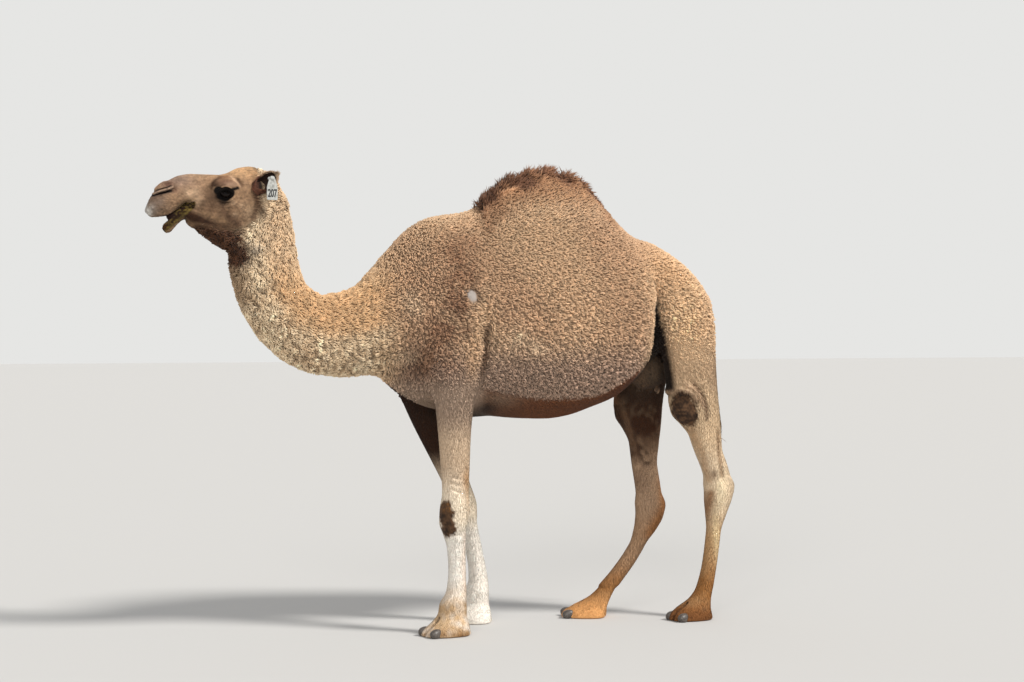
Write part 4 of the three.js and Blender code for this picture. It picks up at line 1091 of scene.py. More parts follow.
    # painted shade in the crease over the lid and in the hollow behind it, and a painted highlight along the
    # ridge between them
    lay("#3f2a1e", face * 0.85 * line([(-1.378, 1.930), (-1.376, 1.946), (-1.371, 1.957), (-1.360, 1.968),
                                       (-1.342, 1.977)], 0.0065))
    lay("#8b6142", face * 0.6 * line([(-1.343, 1.978), (-1.318, 1.983), (-1.300, 1.983)], 0.007))
    lay("#dcb794", face * 0.85 * line([(-1.297, 1.982), (-1.279, 1.960), (-1.262, 1.941)], 0.006))
    lay("#5e432f", face * 0.8 * line([(-1.266, 1.972), (-1.256, 1.959), (-1.251, 1.946)], 0.008))
    rim = np.minimum.reduce([side_distance(p, [(-1.352, 1.922), (-1.330, 1.908), (-1.302, 1.914)]) - 0.016,
                             side_distance(p, [(-1.342, 1.900), (-1.324, 1.893)]) - 0.015,
                             side_distance(p, [(-1.310, 1.922), (-1.272, 1.934)]) - 0.004])
    lay("#0c0705", face * (1 - ease(-0.001, 0.006, rim)) * (1 - ease(1.938, 1.945, z)))
    # nostril: painted shade in the open slit and in the furrow over the flap
    lay("#6d4a3c", 0.8 * face * spot(p, (-1.553, 0, 1.948), (0.022, 0.2, 0.012), 0.3))
    lay("#94705c", 0.7 * face * spot(p, (-1.530, 0, 1.922), (0.014, 0.2, 0.014)))
    lay("#6a5041", 0.7 * face * line(SLIT, 0.014))
    lay("#1a100c", 1.7 * face * line(SLIT[:4], 0.0078))
    lay("#2b1d16", 1.1 * face * line(OVER_FLAP, 0.0036))
    lay("#c9ab92", 1.0 * face * line(FLAP, 0.0032))
    # green cud on the lips
    band = side_distance(p, [(-1.578, 1.762), (-1.548, 1.787), (-1.512, 1.820), (-1.480, 1.848),
                             (-1.462, 1.862)])
    lip = (x < -1.44) * (1 - ease(0.017, 0.024, band)) * (z < through([(-1.60, 1.78), (-1.55, 1.81),
                                                                       (-1.51, 1.838), (-1.46, 1.875)], x))
    lay("#2e1c0c", lip)
    lay("#6b5826", lip * np.clip(0.35 + 0.45 * fine(p) + 0.3 * small(p), 0, 1) * ease(-1.585, -1.555, x))
    lay("#4c2b11", lip * 0.8 * (1 - ease(-1.575, -1.552, x)))
    lay("#84703a", lip * 0.55 * ease(0.008, 0.016, band) * (z < through([(-1.60, 1.76), (-1.55, 1.78),
                                                                         (-1.48, 1.845)], x)))
    lay("#6b5a2a", 0.75 * face * ease(0.0, 1.0, fine(p) + 0.4)
        * line([(-1.52, 1.842), (-1.49, 1.868), (-1.462, 1.884)], 0.010))
    lay("#5c4638", 0.9 * spot(p, (-0.262, -0.27, 1.492), (0.024, 0.1, 0.032), 0.4))
    lay("#a39a93", 2.0 * ease(0.25, 0.5, spot(p, (-0.274, -0.27, 1.480), (0.022, 0.1, 0.030), 0.4)))
    col = col * (1 + 0.045 * fine(p) + 0.03 * small(p))[:, None]
    return col


def painted_mouth_shadow(p, n):
    """1 inside the mouth, where it is painted dark as shadow: on the tongue, and between the lips on faces that
    look at each other.
    """
    x, y, z = (p - OFF).T
    tongue = 1 - ease(0.002, 0.006, sample(hnear["tongue"], hfirst, HEAD_H, p))
    roof = (n[:, 2] < -0.45) * (1 - ease(0.022, 0.030, np.abs(y))) * ease(-1.60, -1.57, x)
    roof = roof * (1 - ease(-1.47, -1.44, x)) * (z > 1.79)
    low = through([(-1.58, 1.765), (-1.543, 1.797), (-1.51, 1.832), (-1.476, 1.871), (-1.44, 1.88)], x)
    floor = (n[:, 2] > 0.35) * (1 - ease(0.012, 0.020, np.abs(y))) * ease(-1.56, -1.545, x) * (z < low + 0.01)
    return ((x > -1.62) & (x < -1.44)) * np.clip(tongue + roof + floor, 0, 1) * (z > 1.75)

# ---------------------------------------------------------------- the coat

LINES = {
    "trunk": [(-0.66, 0, 1.37), (-0.4, 0, 1.4), (0, 0, 1.42), (0.3, 0, 1.45), (0.6, 0, 1.48),
              (0.968, 0, 1.44)],
    "neck": [(a / 1000, 0, b / 1000) for a, b, c, d in NECK],
    "head": [(-1.64, 0, 1.84), (-1.5, 0, 1.90), (-1.3, 0, 1.90), (-1.05, 0, 1.88)],
    "jaw": [(a / 1000, 0, b / 1000) for a, b, c, d in JAW],
    "tail": [(a / 1000, 0, b / 1000) for a, b, c, d in TAIL],
}
LINES.update({name: np.array(joints) / 1000 for name, (build, joints) in LEGS.items()})
LINES = {name: np.array(line, float) for name, line in LINES.items()}


def belonging(p):
    """The name of the form that each point lies on."""
    names = [n for n in near if n in LINES]
    d = np.stack([sample(near[n], first, H, p) for n in names])
    d[names.index("head")] -= 0.004
    return np.array(names)[np.argmin(d, 0)]


def unwrapped(p, name):
    """Distance along the form's middle line, and the turn round it, both in metres or turns."""
    line, q = LINES[name], p - OFF
    place = along_path(q, line)[1]
    at = place * (len(line) - 1)
    i = np.clip(at.astype(int), 0, len(line) - 2)
    middle = line[i] + (at - i)[:, None] * (line[i + 1] - line[i])
    way = line[i + 1] - line[i]
    way = way / np.linalg.norm(way, axis=1, keepdims=True)
    across = np.array([0, 1.0, 0])
    other = np.cross(way, across)
    d = q - middle
    return place, np.arctan2(d @ across, (d * other).sum(1)) / (2 * np.pi) + 0.5


def lie(p, label):
    """Which way the hair lies: back and down on the trunk, up the hump, down the neck and legs."""
    x, y, z = (p - OFF).T
    way = np.tile([0.80, 0.0, -0.55], (len(p), 1))
    way += ease(1.70, 1.95, z)[:, None] * [-0.1, 0, 0.9]
    way += (1 - ease(-0.5, -0.35, x))[:, None] * [-0.3, 0, -0.7]
    for name, line in LINES.items():
        mine = label == name
        if not mine.any() or name == "trunk":
            continue
        if name in LEGS or name == "tail":
            way[mine] = [0.10, 0, -1]
            high = (ease(0.95, 1.25, z) if name in LEGS else 0 * z)[mine][:, None]
            way[mine] += high * [0.5, 0, 0.3]
        elif name == "neck":
            i = np.clip((along_path(p[mine] - OFF, line)[1] * (len(line) - 1)).astype(int), 0, len(line) - 2)
            down = line[i] - line[i + 1]
            way[mine] = down / np.linalg.norm(down, axis=1, keepdims=True) + [0, 0, -0.25]
        else:
            way[mine] = [1, 0, -0.22]
            way[mine] += ease(1.93, 2.0, z[mine])[:, None] * [0, 0, 0.25]
    return way


def scattered(p, t, n, area, r):
    """Points spread evenly over triangles, one to each `area` (per triangle), with the skin's normals."""
    a, b, c = (p[t[:, k]] for k in range(3))
    size = np.linalg.norm(np.cross(b - a, c - a), axis=1) / 2
    want = size / area(((a + b + c) / 3))
    count = np.floor(want + r.random(len(t))).astype(int)
    which = np.repeat(np.arange(len(t)), count)
    u, v = r.random(len(which)), r.random(len(which))
    over = u + v > 1
    u, v = np.where(over, 1 - u, u)[:, None], np.where(over, 1 - v, v)[:, None]
    root = a[which] * (1 - u - v) + b[which] * u + c[which] * v
    normal = n[t[which, 0]] * (1 - u - v) + n[t[which, 1]] * u + n[t[which, 2]] * v
    return root, normal / np.linalg.norm(normal, axis=1, keepdims=True)


def tufts(root, normal, way, length, width, lift, bend, profile):
    """Tapered three-sided locks. Each follows a line from its root: `profile` gives, ring by ring, how far it
    has gone along the lie, how high it stands, how far it has bent aside and how thick it is."""
    way = way - normal * (way * normal).sum(1)[:, None]
    way = way / np.maximum(np.linalg.norm(way, axis=1, keepdims=True), 1e-6)
    aside = np.cross(normal, way)

    def middle(go, rise, curl):
        """The lock's own line at one ring."""
        along = root + way * (length * go)[:, None] + normal * (lift * rise)[:, None]
        return along + aside * (bend * curl)[:, None]

    rings = []
    for go, rise, curl, thick in profile[:-1]:
        for a in (math.pi / 2, math.pi * 7 / 6, math.pi * 11 / 6):
            across, up = width * thick * math.cos(a), 0.8 * width * thick * math.sin(a)
            rings.append(middle(go, rise, curl) + aside * across[:, None] + normal * up[:, None])
    rings.append(middle(*profile[-1][:3]))
    p = np.stack(rings, 1)
    faces, patch, m = [], [], len(profile) - 1
    for k in range(m - 1):
        for s in range(3):
            a, b = 3 * k + s, 3 * k + (s + 1) % 3
            u0, u1, v0, v1 = s / 3, (s + 1) / 3, k / m, (k + 1) / m
            faces += [(a, b, b + 3), (a, b + 3, a + 3)]
            patch += [[(u0, v0), (u1, v0), (u1, v1)], [(u0, v0), (u1, v1), (u0, v1)]]
    for s in range(3):
        a, b = 3 * (m - 1) + s, 3 * (m - 1) + (s + 1) % 3
        faces.append((a, b, 3 * m))
        patch.append([(s / 3, (m - 1) / m), ((s + 1) / 3, (m - 1) / m), ((s + 0.5) / 3, 1)])
    step = np.array([k for k in range(m) for _ in range(3)] + [m]) / m
    return p, np.array(faces), np.array(patch), step


PATCH = 0.003  # how wide a lock's patch is on the OFBake map


def coat_piece(name, parts, material):
    """Joins locks of several kinds into one piece with its colours and its OFBake map: each lock is a small
    patch at its root's place on the skin unwrapped."""
    points, loops, uvs, cols, total = [], [], [], [], 0
    for (p, faces, patch, step), place, tint in parts:
        n, k = p.shape[:2]
        points.append(p.reshape(-1, 3))
        loops.append((faces[None] + (total + np.arange(n) * k)[:, None, None]).reshape(-1))
        uvs.append((place[:, None, None, :] + (patch[None] - 0.5) * PATCH).reshape(-1, 2))
        # painted shade: each lock darker at its root, paler towards its tip
        shade = 0.76 + 0.36 * step[None, :, None]
        cols.append((tint[:, None, :] * shade).reshape(-1, 3))
        total += n * k
    points, loops, uvs, cols = map(np.concatenate, (points, loops, uvs, cols))
    points[:, 2] = np.maximum(points[:, 2], 0.0004)
    mesh = bpy.data.meshes.new(name)
    mesh.vertices.add(len(points))
    mesh.vertices.foreach_set("co", points.ravel())
    mesh.loops.add(len(loops))
    mesh.loops.foreach_set("vertex_index", loops.astype(np.int32))
    mesh.polygons.add(len(loops) // 3)
    mesh.polygons.foreach_set("loop_start", np.arange(0, len(loops), 3, dtype=np.int32))
    mesh.update(calc_edges=True)
    mesh.shade_smooth()
    layer = mesh.uv_layers.new(name="OFBake")
    layer.uv.foreach_set("vector", uvs.ravel())
    paint(mesh, cols)
    mesh.materials.append(material)
    one = linked(name, mesh)
    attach(one, "root")


def paint(mesh, colours):
    """Keeps a colour at every point, for the materials to read."""
    layer = mesh.color_attributes.new("marks", "FLOAT_COLOR", "POINT")
    layer.data.foreach_set("color", np.hstack([np.clip(colours, 0, 1), np.ones((len(colours), 1))]).ravel())


# ---------------------------------------------------------------- finishes


def add(tree, kind, links=(), **values):
    """Adds a node with its settings; `links` are (socket, node, its output) or (socket, value)."""
    node = tree.nodes.new(kind)
    for key, value in values.items():
        setattr(node, key, value)
    for link in links:
        if len(link) == 3:
            tree.links.new(link[1].outputs[link[2]], node.inputs[link[0]])
        else:
            node.inputs[link[0]].default_value = link[1]
    return node


def finish(name, roughness, sheen=0.0):
    """A material with its Principled shader set, its node tree, and the shader to link to."""
    material = bpy.data.materials.new(name)
    material.use_nodes = True
    shader = material.node_tree.nodes["Principled BSDF"]
    shader.inputs["Roughness"].default_value = roughness
    shader.inputs["Sheen Weight"].default_value = sheen
    shader.inputs["Sheen Roughness"].default_value = 0.5
    return material, material.node_tree, shader


def marked(name, roughness, fine, strength, distance, stretch=(1, 1, 1), sheen=0.0, spread=0.25):
    """A coat finish: the painted marks, varied by a fine noise, with the same noise as bump. `fine` is the
    width of its grains in metres, `spread` how far the shade swings, `distance` the bump's height in
    metres."""
    material, tree, shader = finish(name, roughness, sheen)
    shader.inputs["Specular IOR Level"].default_value = 0.18
    marks = add(tree, "ShaderNodeAttribute", attribute_name="marks")
    place = add(tree, "ShaderNodeTexCoord")
    grow = add(tree, "ShaderNodeMapping", [("Vector", place, "Object"),
                                           ("Scale", tuple(v / fine for v in stretch))])
    noise = add(tree, "ShaderNodeTexNoise", [("Vector", grow, "Vector"), ("Scale", 1.0), ("Detail", 3.0),
                                             ("Roughness", 0.6)])
    swing = add(tree, "ShaderNodeMapRange", [("Value", noise, "Fac"), ("From Min", 0.25), ("From Max", 0.75),
                                             ("To Min", 1 - spread), ("To Max", 1 + spread)])
    mix = add(tree, "ShaderNodeVectorMath", [(0, marks, "Color"), (1, swing, "Result")], operation="MULTIPLY")
    bump = add(tree, "ShaderNodeBump", [("Height", noise, "Fac"), ("Strength", strength),
                                        ("Distance", distance)])
    tree.links.new(mix.outputs[0], shader.inputs["Base Color"])
    tree.links.new(bump.outputs[0], shader.inputs["Normal"])
    return material


# Camel wool, curled and dusty: dull, with a faint bloom along the edges.
wool = marked("camel_wool_curled", 0.92, 0.0035, 0.5, 0.0012, sheen=0.10, spread=0.22)
# Short hair lying flat over warm skin: streaks a few millimetres long, down the body.
short_hair = marked("camel_hair_short", 0.80, 0.0028, 0.3, 0.0006, stretch=(1, 1, 0.35), sheen=0.05,
                    spread=0.10)
# The skin itself with its flat hair.
hide = marked("camel_skin_and_flat_hair", 0.82, 0.0030, 0.5, 0.0010, stretch=(1, 1, 0.45), sheen=0.04,
              spread=0.14)


def piece(name, p, t, material, colours=None, smooth=True):
    """A finished object of points and triangles, riding on the one body."""
    mesh = bpy.data.meshes.new(name)
    mesh.from_pydata(p.tolist(), [], t.tolist())
    mesh.polygons.foreach_set("use_smooth", [smooth] * len(mesh.polygons))
    if colours is not None:
        paint(mesh, colours)
    mesh.materials.append(material)
    one = linked(name, mesh)
    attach(one, "root")
    return one


def ear_colours(p):
    """An ear's colours at its own points: dark inside, brown at the root outside and paler to the tip, with
    painted shade low at the root."""
    around = np.arange(EAR_RINGS * EAR_SIDES) % EAR_SIDES
    inner = ease(17, 21, around) * (1 - ease(32, 35.5, around))
    inner = np.concatenate([inner, [0, 0]])[:, None]
    ring = np.repeat(np.arange(EAR_RINGS), EAR_SIDES)
    ring = np.concatenate([ring, [0, EAR_RINGS - 1]])[:, None] / (EAR_RINGS - 1)
    outer = linear("#6b4433") * (1 - ease(0.36, 0.56, ring)) + linear("#b08e70") * ease(0.36, 0.56, ring)
    outer = outer * (1 - ease(0.86, 0.95, ring)) + linear("#a58a6c") * ease(0.86, 0.95, ring)
    low = (1 - ease(-0.035, -0.005, (p[:, 2] - EAR["root"][2])[:, None] - 0.02)) * (1 - ease(0.36, 0.5, ring))
    outer = outer * (1 - 0.6 * low) + linear("#3a241a") * 0.6 * low
    return outer * (1 - inner) + linear("#2a1b13") * inner


hide_cols = markings(hide_p - OFF)
under = fleeced(*(hide_p - OFF).T)[:, None]
on_neck = 1 - ease(-0.72, -0.52, hide_p[:, :1] - ALONG)
# painted shade on the skin under the wool, where it shows between the locks, less on the neck
hide_cols = hide_cols * (1 - (0.30 - 0.20 * on_neck) * under)
# the mouth's inside: painted shadow, with green cud towards its corner
mouth = painted_mouth_shadow(hide_p, hide_n)[:, None]
cud = ease(-1.535, -1.505, hide_p[:, :1] - ALONG) * np.clip(0.45 + 0.7 * fine(hide_p - OFF)[:, None], 0, 1)
hide_cols = hide_cols * (1 - mouth) + (linear("#24120d") * (1 - cud) + linear("#66552a") * cud) * mouth
skin_parts, skin_cols, ear_cols = [(hide_p, hide_t)], [hide_cols], {}
for side in (-1, 1):
    p, t = lid_parts[side]
    row = np.tile(np.arange(len(LID_EDGE) + LID_ROWS), LID_AROUND)
    # the lids' edge against the ball, and a little past it, near-black: the dark wet rim and painted shadow of
    # the lashes
    dark = (1 - ease(4, 8, row))[:, None]
    skin_parts.append((p, t))
    skin_cols.append(markings(p - OFF) * (1 - dark) + linear("#100a08") * dark)
    ear_cols[side] = ear_colours(ear_parts[side][0])
    skin_parts.append(ear_parts[side])
    skin_cols.append(ear_cols[side])
all_p, all_t = together(skin_parts)
skin = piece("skin", all_p, all_t, hide, np.vstack(skin_cols))
flesh_nodes = [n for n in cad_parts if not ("eye" in n or "nail" in n or n == "ear_tag")]
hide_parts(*flesh_nodes)

# ---------------------------------------------------------------- wool and hair over the skin

r = np.random.default_rng(3)
CURL = [(-0.10, -0.35, 0, 0.9), (0.50, 1.0, 0.35, 1.1), (1.0, 0.62, 1.0, 0)]
SPIKE = [(-0.05, -0.1, 0, 1.0), (0.42, 0.75, 0.35, 0.85), (1.0, 1.15, 1.0, 0)]
FLAT = [(-0.1, -0.2, 0, 1.0), (1.0, 1.0, 1.0, 0)]
ripple, sway, clump = waves(21, 0.019, 40), waves(22, 0.024, 30), waves(23, 0.06, 30)



def wool_area(p):
    """The skin that one lock of wool has to itself: less along the crest of the hump and on the neck."""
    x, y, z = (p - OFF).T
    return 36e-6 / np.clip(fleeced(x, y, z), 1e-4, 1) / (1 + hump_crest(x, y, z) + 0.30 * (x < -0.65))


def hair_area(p):
    """The skin that one tuft of short hair has to itself: less on the face."""
    x, y, z = (p - OFF).T
    return 21e-6 / np.clip(1 - fleeced(x, y, z), 1e-4, 1) / (1 + 1.6 * (1 - ease(-1.24, -1.16, x)))


root, normal = scattered(hide_p, hide_t, hide_n, wool_area, r)
label = belonging(root)
x, y, z = (root - OFF).T
thick = fleeced(x, y, z)
crest = hump_crest(x, y, z)
way = lie(root, label)
n = len(root)
trunkish = ~np.isin(label, ["neck", "jaw", "head"])
nape = (label == "neck") * (1 - ease(-0.02, 0.06, neck_front(root - OFF)))
coarse = 1 - 0.55 * ease(1.35, 1.75, z) * trunkish - 0.35 * nape  # how strongly the wool ripples
turn = 0.55 * coarse * sway(root) + r.normal(0, 0.20, n)
way = way * np.cos(turn)[:, None] + np.cross(normal, way) * np.sin(turn)[:, None]
way = way + 0.5 * r.normal(0, 1, (n, 3)) * crest[:, None]
low_flank = spot(root - OFF, (0.38, 0, 1.22), (0.26, 1, 0.20))
shoulder = spot(root - OFF, (-0.36, 0, 1.50), (0.12, 1, 0.22))
coarse = coarse * (1 + 0.5 * low_flank + 0.5 * shoulder)
necked = 1 - ease(-0.72, -0.52, x)
streak = locks(root - OFF) * necked
wave = ripple(root) * coarse * (1 - 0.45 * necked)
throat = (label == "neck") * (1 - ease(-1.02, -0.9, x)) + (label == "jaw")
wave = wave * (1 - 0.35 * throat)
longer = 1 + 0.45 * necked + 0.25 * throat + 1.5 * crest
length = 0.0150 * (0.8 + 0.25 * thick) * r.uniform(0.8, 1.25, n) * longer
lift = (0.0022 + 0.0085 * thick) * (1 + 0.20 * wave + 0.16 * streak) * r.uniform(0.88, 1.12, n)
lift = lift + crest * np.minimum(r.uniform(0.002, 0.034, n) * (1 + 0.6 * clump(root)), 0.038)
width = 0.0031 * r.uniform(0.8, 1.2, n) * (0.7 + 0.3 * thick) * (1 - 0.10 * necked + 0.20 * crest)
bend = 0.004 * r.normal(0, 1, n) * (1 + throat)
tint = (1.25 - 0.09 * necked)[:, None] * markings(root - OFF)
# painted light on the raised crests of the ripples and neck locks and painted shade between them, with clumps
# varying at random
tint = tint * (1 + 0.15 * wave + 0.10 * streak + 0.05 * clump(root))[:, None] * r.normal(1, 0.06, n)[:, None]
standing = crest > 0.35
tint = np.where(standing[:, None], tint * r.uniform(0.75, 1.45, n)[:, None], tint)
groups = {}
flank = np.where(y < 0, "left", "right")
cuts = np.quantile(x[trunkish], [0.27, 0.5, 0.74])
zone = np.digitize(x, cuts)
for side in ("left", "right"):
    for k in range(4):
        groups["wool_%s_%d" % (side, k + 1)] = trunkish & (flank == side) & (zone == k)
    groups["wool_neck_" + side] = ~trunkish & (flank == side)
for name, mine in groups.items():
    place = np.zeros((mine.sum(), 2))
    neckish = label[mine] == "neck"
    for form, pick in (("trunk", ~neckish), ("neck", neckish)):
        if pick.any():
            place[pick] = np.stack(unwrapped(root[mine][pick], form), -1)
    low, high = place.min(0), place.max(0)
    place = (place - low) / (high - low)
    if neckish.any() and not neckish.all():  # the neck's share beside the rest, not over it
        place[neckish, 0] = place[neckish, 0] * 0.48
        place[~neckish, 0] = 0.52 + place[~neckish, 0] * 0.48
    place = 0.005 + 0.99 * place
    parts = []
    for stand, profile in ((False, CURL), (True, SPIKE)):
        pick = np.nonzero(mine)[0][standing[mine] == stand]
        if len(pick):
            lock = tufts(*(v[pick] for v in (root, normal, way, length, width, lift, bend)), profile)
            parts.append((lock, place[standing[mine] == stand], tint[pick]))
    coat_piece(name, parts, wool)

root, normal = scattered(hide_p, hide_t, hide_n, hair_area, r)
label = belonging(root)
x, y, z = (root - OFF).T
face = (1 - ease(-1.24, -1.18, x)) * (z > 1.66)
bare = sum(spot(root - OFF, *pad) for pad in [*PADS, ((-0.274, -0.27, 1.480), (0.026, 0.1, 0.033), 0.4)])
eye_gap = np.min([np.linalg.norm(root - EYES[s], axis=1) for s in (-1, 1)], 0)
keep = (z > 0.012) & (bare < 0.45) & (eye_gap > 0.036) & (painted_mouth_shadow(root, normal) < 0.2)
root, normal, label, face = root[keep], normal[keep], label[keep], face[keep]
for side in (-1, 1):  # and on the lids, clear of their wet edges
    p, t = lid_parts[side]
    lid_root, lid_normal = scattered(p, t, outward(p, t), lambda q: np.full(len(q), 8e-6), r)
    out, back, up = eye_axes(side)
    d = (lid_root - EYES[side]) / np.linalg.norm(lid_root - EYES[side], axis=1, keepdims=True)
    clear = np.arccos(np.clip(d @ out, -1, 1)) > opening(np.arctan2(d @ up, d @ back)) + 0.16
    root, normal = np.vstack([root, lid_root[clear]]), np.vstack([normal, lid_normal[clear]])
    label, face = np.append(label, ["head"] * clear.sum()), np.append(face, np.ones(clear.sum()))
x, y, z = (root - OFF).T
n = len(root)
tailed = (label == "tail") & (z < 1.02)
shank = np.isin(label, list(LEGS)) * (1 - ease(0.85, 1.0, z))  # the sleek lower legs
way = lie(root, label) + (0.13 - 0.06 * shank)[:, None] * r.normal(0, 1, (n, 3))
foot = np.isin(label, list(LEGS)) * (1 - ease(0.06, 0.16, z))
length = (0.0125 - 0.0065 * face - 0.0055 * foot) * r.uniform(0.75, 1.3, n) * (1 + 3.5 * tailed)
width = (0.0017 - 0.0007 * face - 0.0005 * shank) * r.uniform(0.8, 1.2, n) * (1 + 0.5 * tailed)
lift = (0.0021 - 0.0006 * face - 0.0013 * shank) * r.uniform(0.6, 1.3, n) * (1 + 1.2 * tailed)
bend = 0.0020 * r.normal(0, 1, n)
tint = markings(root - OFF) * (1.04 + (0.08 - 0.05 * shank) * r.normal(0, 1, n))[:, None]
kinds = {"hair_head": np.isin(label, ["head", "jaw", "neck"]), "hair_body": np.isin(label, ["trunk", "tail"])}
kinds.update({"hair_" + name: label == name for name in LEGS})
for name, mine in kinds.items():
    if not mine.any():
        continue
    place = np.zeros((mine.sum(), 2))
    forms = sorted(set(label[mine]))
    for i, form in enumerate(forms):
        pick = label[mine] == form
        u, v = unwrapped(root[mine][pick], form)
        place[pick] = np.stack([(i + 0.02 + 0.96 * (u - u.min()) / max(np.ptp(u), 1e-6)) / len(forms), v], -1)
    place = 0.005 + 0.99 * place
    lock = tufts(*(v[mine] for v in (root, normal, way, length, width, lift, bend)), FLAT)
    coat_piece(name, [(lock, place, tint[mine])], short_hair)

# Fluff on the ears: fine hair along them, longer and paler at the rims and the rolled tip.
fluff = []
for side in (-1, 1):
    p, t = ear_parts[side]
    grids = [v[:EAR_RINGS * EAR_SIDES].reshape(EAR_RINGS, EAR_SIDES, -1)
             for v in (p, outward(p, t), ear_cols[side])]
    n = 3600
    i, j = r.uniform(2, EAR_RINGS - 1.1, n), r.uniform(0, EAR_SIDES, n)
    a, b, f, g = i.astype(int), j.astype(int), (i % 1)[:, None], (j % 1)[:, None]
    a1, b1 = np.minimum(a + 1, EAR_RINGS - 1), (b + 1) % EAR_SIDES
    root, normal, tint = ((v[a, b] * (1 - g) + v[a, b1] * g) * (1 - f)
                          + (v[a1, b] * (1 - g) + v[a1, b1] * g) * f for v in grids)
    way = grids[0][a1, b] - grids[0][a1 - 1, b] + 1e-6 * normal
    way = way / np.linalg.norm(way, axis=1, keepdims=True) + 0.35 * r.normal(0, 1, (n, 3))
    edge = np.exp(-(np.minimum(np.abs(b - 17.5), np.abs(b - 35.5)) / 3) ** 2)  # the two rims
    up = i / (EAR_RINGS - 1)
    edge = np.maximum(edge, ease(0.80, 0.95, up)) * ease(0.42, 0.62, up)
    tint = tint * (1 - 0.7 * edge[:, None]) + linear("#b39b80") * 0.7 * edge[:, None]
    tint = tint * r.normal(1, 0.07, n)[:, None]
    keep = (b < 19) | (b > 34) | (r.random(n) < 0.35)
    lock = tufts(root[keep], (normal / np.linalg.norm(normal, axis=1, keepdims=True))[keep], way[keep],
                 (0.008 + 0.007 * edge)[keep] * r.uniform(0.7, 1.3, keep.sum()), np.full(keep.sum(), 0.0010),
                 (0.0020 + 0.0030 * edge)[keep], 0.002 * r.normal(0, 1, keep.sum()), FLAT)
    place = np.stack([0.25 + side * 0.25 + 0.24 * (j / EAR_SIDES * 2 - 1), 0.01 + 0.98 * i / (EAR_RINGS - 1)],
                     -1)[keep]
    fluff.append((lock, place * [0.98, 1] + [0.01, 0], tint[keep]))
coat_piece("hair_ears", fluff, short_hair)

# ---------------------------------------------------------------- eyes

black, tree, shader = finish("eye_wet", 0.06)
# A wet, dark brown iris with a level black pupil under a clear, glossy front.
place = add(tree, "ShaderNodeAttribute", attribute_name="marks")
tree.links.new(place.outputs["Color"], shader.inputs["Base Color"])
shader.inputs["Coat Weight"].default_value = 0.10
shader.inputs["Specular IOR Level"].default_value = 0.15
shader.inputs["Coat Roughness"].default_value = 0.03
EYE_RINGS, EYE_SIDES = 48, 64
for side, name in ((-1, "left"), (1, "right")):
    out, back, up = eye_axes(side)
    lat = np.linspace(0, np.pi, EYE_RINGS + 1)[:, None]
    lon = np.linspace(0, 2 * np.pi, EYE_SIDES, endpoint=False)[None]
    radius = EYE_RADIUS * (1 + 0.045 * np.exp(-(lat / 0.5) ** 2))  # the clear front bulges a little
    u, v = radius * np.sin(lat) * np.cos(lon), radius * np.sin(lat) * np.sin(lon)
    w = radius * np.cos(lat) + 0 * lon
    p = (EYES[side] + u[..., None] * back + v[..., None] * up + w[..., None] * out).reshape(-1, 3)
    i, j = np.meshgrid(np.arange(EYE_RINGS), np.arange(EYE_SIDES), indexing="ij")
    t = faced(p, woven(i * EYE_SIDES + j, i * EYE_SIDES + (j + 1) % EYE_SIDES, EYE_SIDES), EYES[side])
    flat = np.stack([u.ravel(), v.ravel()], -1)
    iris = 1 - ease(0.0125, 0.0140, np.hypot(*flat.T))
    pupil = 1 - ease(0.85, 1.1, np.hypot(flat[:, 0] / 0.0078, flat[:, 1] / 0.0040))
    front = w.ravel() > 0
    cols = linear("#1c1410") * np.ones((len(p), 1))
    cols = cols * (1 - iris[:, None]) + linear("#170d08") * iris[:, None]
    cols = np.where((front * pupil)[:, None] > 0.5, linear("#050404"), cols)
    eye = piece("eyeball_" + name, p, t, black, cols)
    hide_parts("eye_" + name)

# Lashes: long on the upper lid, drooping over the eye, short on the lower.
lash_black, _, shader = finish("eyelash_hair", 0.6)
shader.inputs["Specular IOR Level"].default_value = 0.1
shader.inputs["Base Color"].default_value = (*linear("#0f0a08"), 1)
for side, name in ((-1, "left"), (1, "right")):
    out, back, up = eye_axes(side)
    lashes = []
    for low, high, count, size, upper in ((0.08, 0.92, 190, 0.028, 1), (-0.90, -0.10, 90, 0.013, -1)):
        phi = np.pi * r.uniform(low, high, count)
        theta = opening(phi)
        aside = np.cos(phi)[:, None] * back + np.sin(phi)[:, None] * up
        direction = np.cos(theta)[:, None] * out + np.sin(theta)[:, None] * aside
        base = EYES[side] + (EYE_RADIUS + 0.0028) * direction
        go = out + 0.35 * np.cos(phi)[:, None] * back + 0.10 * upper * up + 0.08 * r.normal(0, 1, (count, 3))
        lift = -size * r.uniform(0.5, 0.95, count)
        droop = [(-0.1, 0, 0, 1), (0.35, 0.02 * upper, 0.1, 0.9), (0.7, 0.35, 0.4, 0.7), (1.0, 1.0, 1.0, 0)]
        p, faces, _, _ = tufts(base, np.tile(up, (count, 1)), go, size * r.uniform(0.7, 1.15, count),
                               np.full(count, 0.0010), lift, 0.2 * size * r.normal(0, 1, count), droop)
        start = (np.arange(count) * p.shape[1])[:, None, None]
        lashes.append((p.reshape(-1, 3), (faces[None] + start).reshape(-1, 3)))
    p, t = together(lashes)
    piece("lashes_" + name, p, t, lash_black)

# ---------------------------------------------------------------- nails

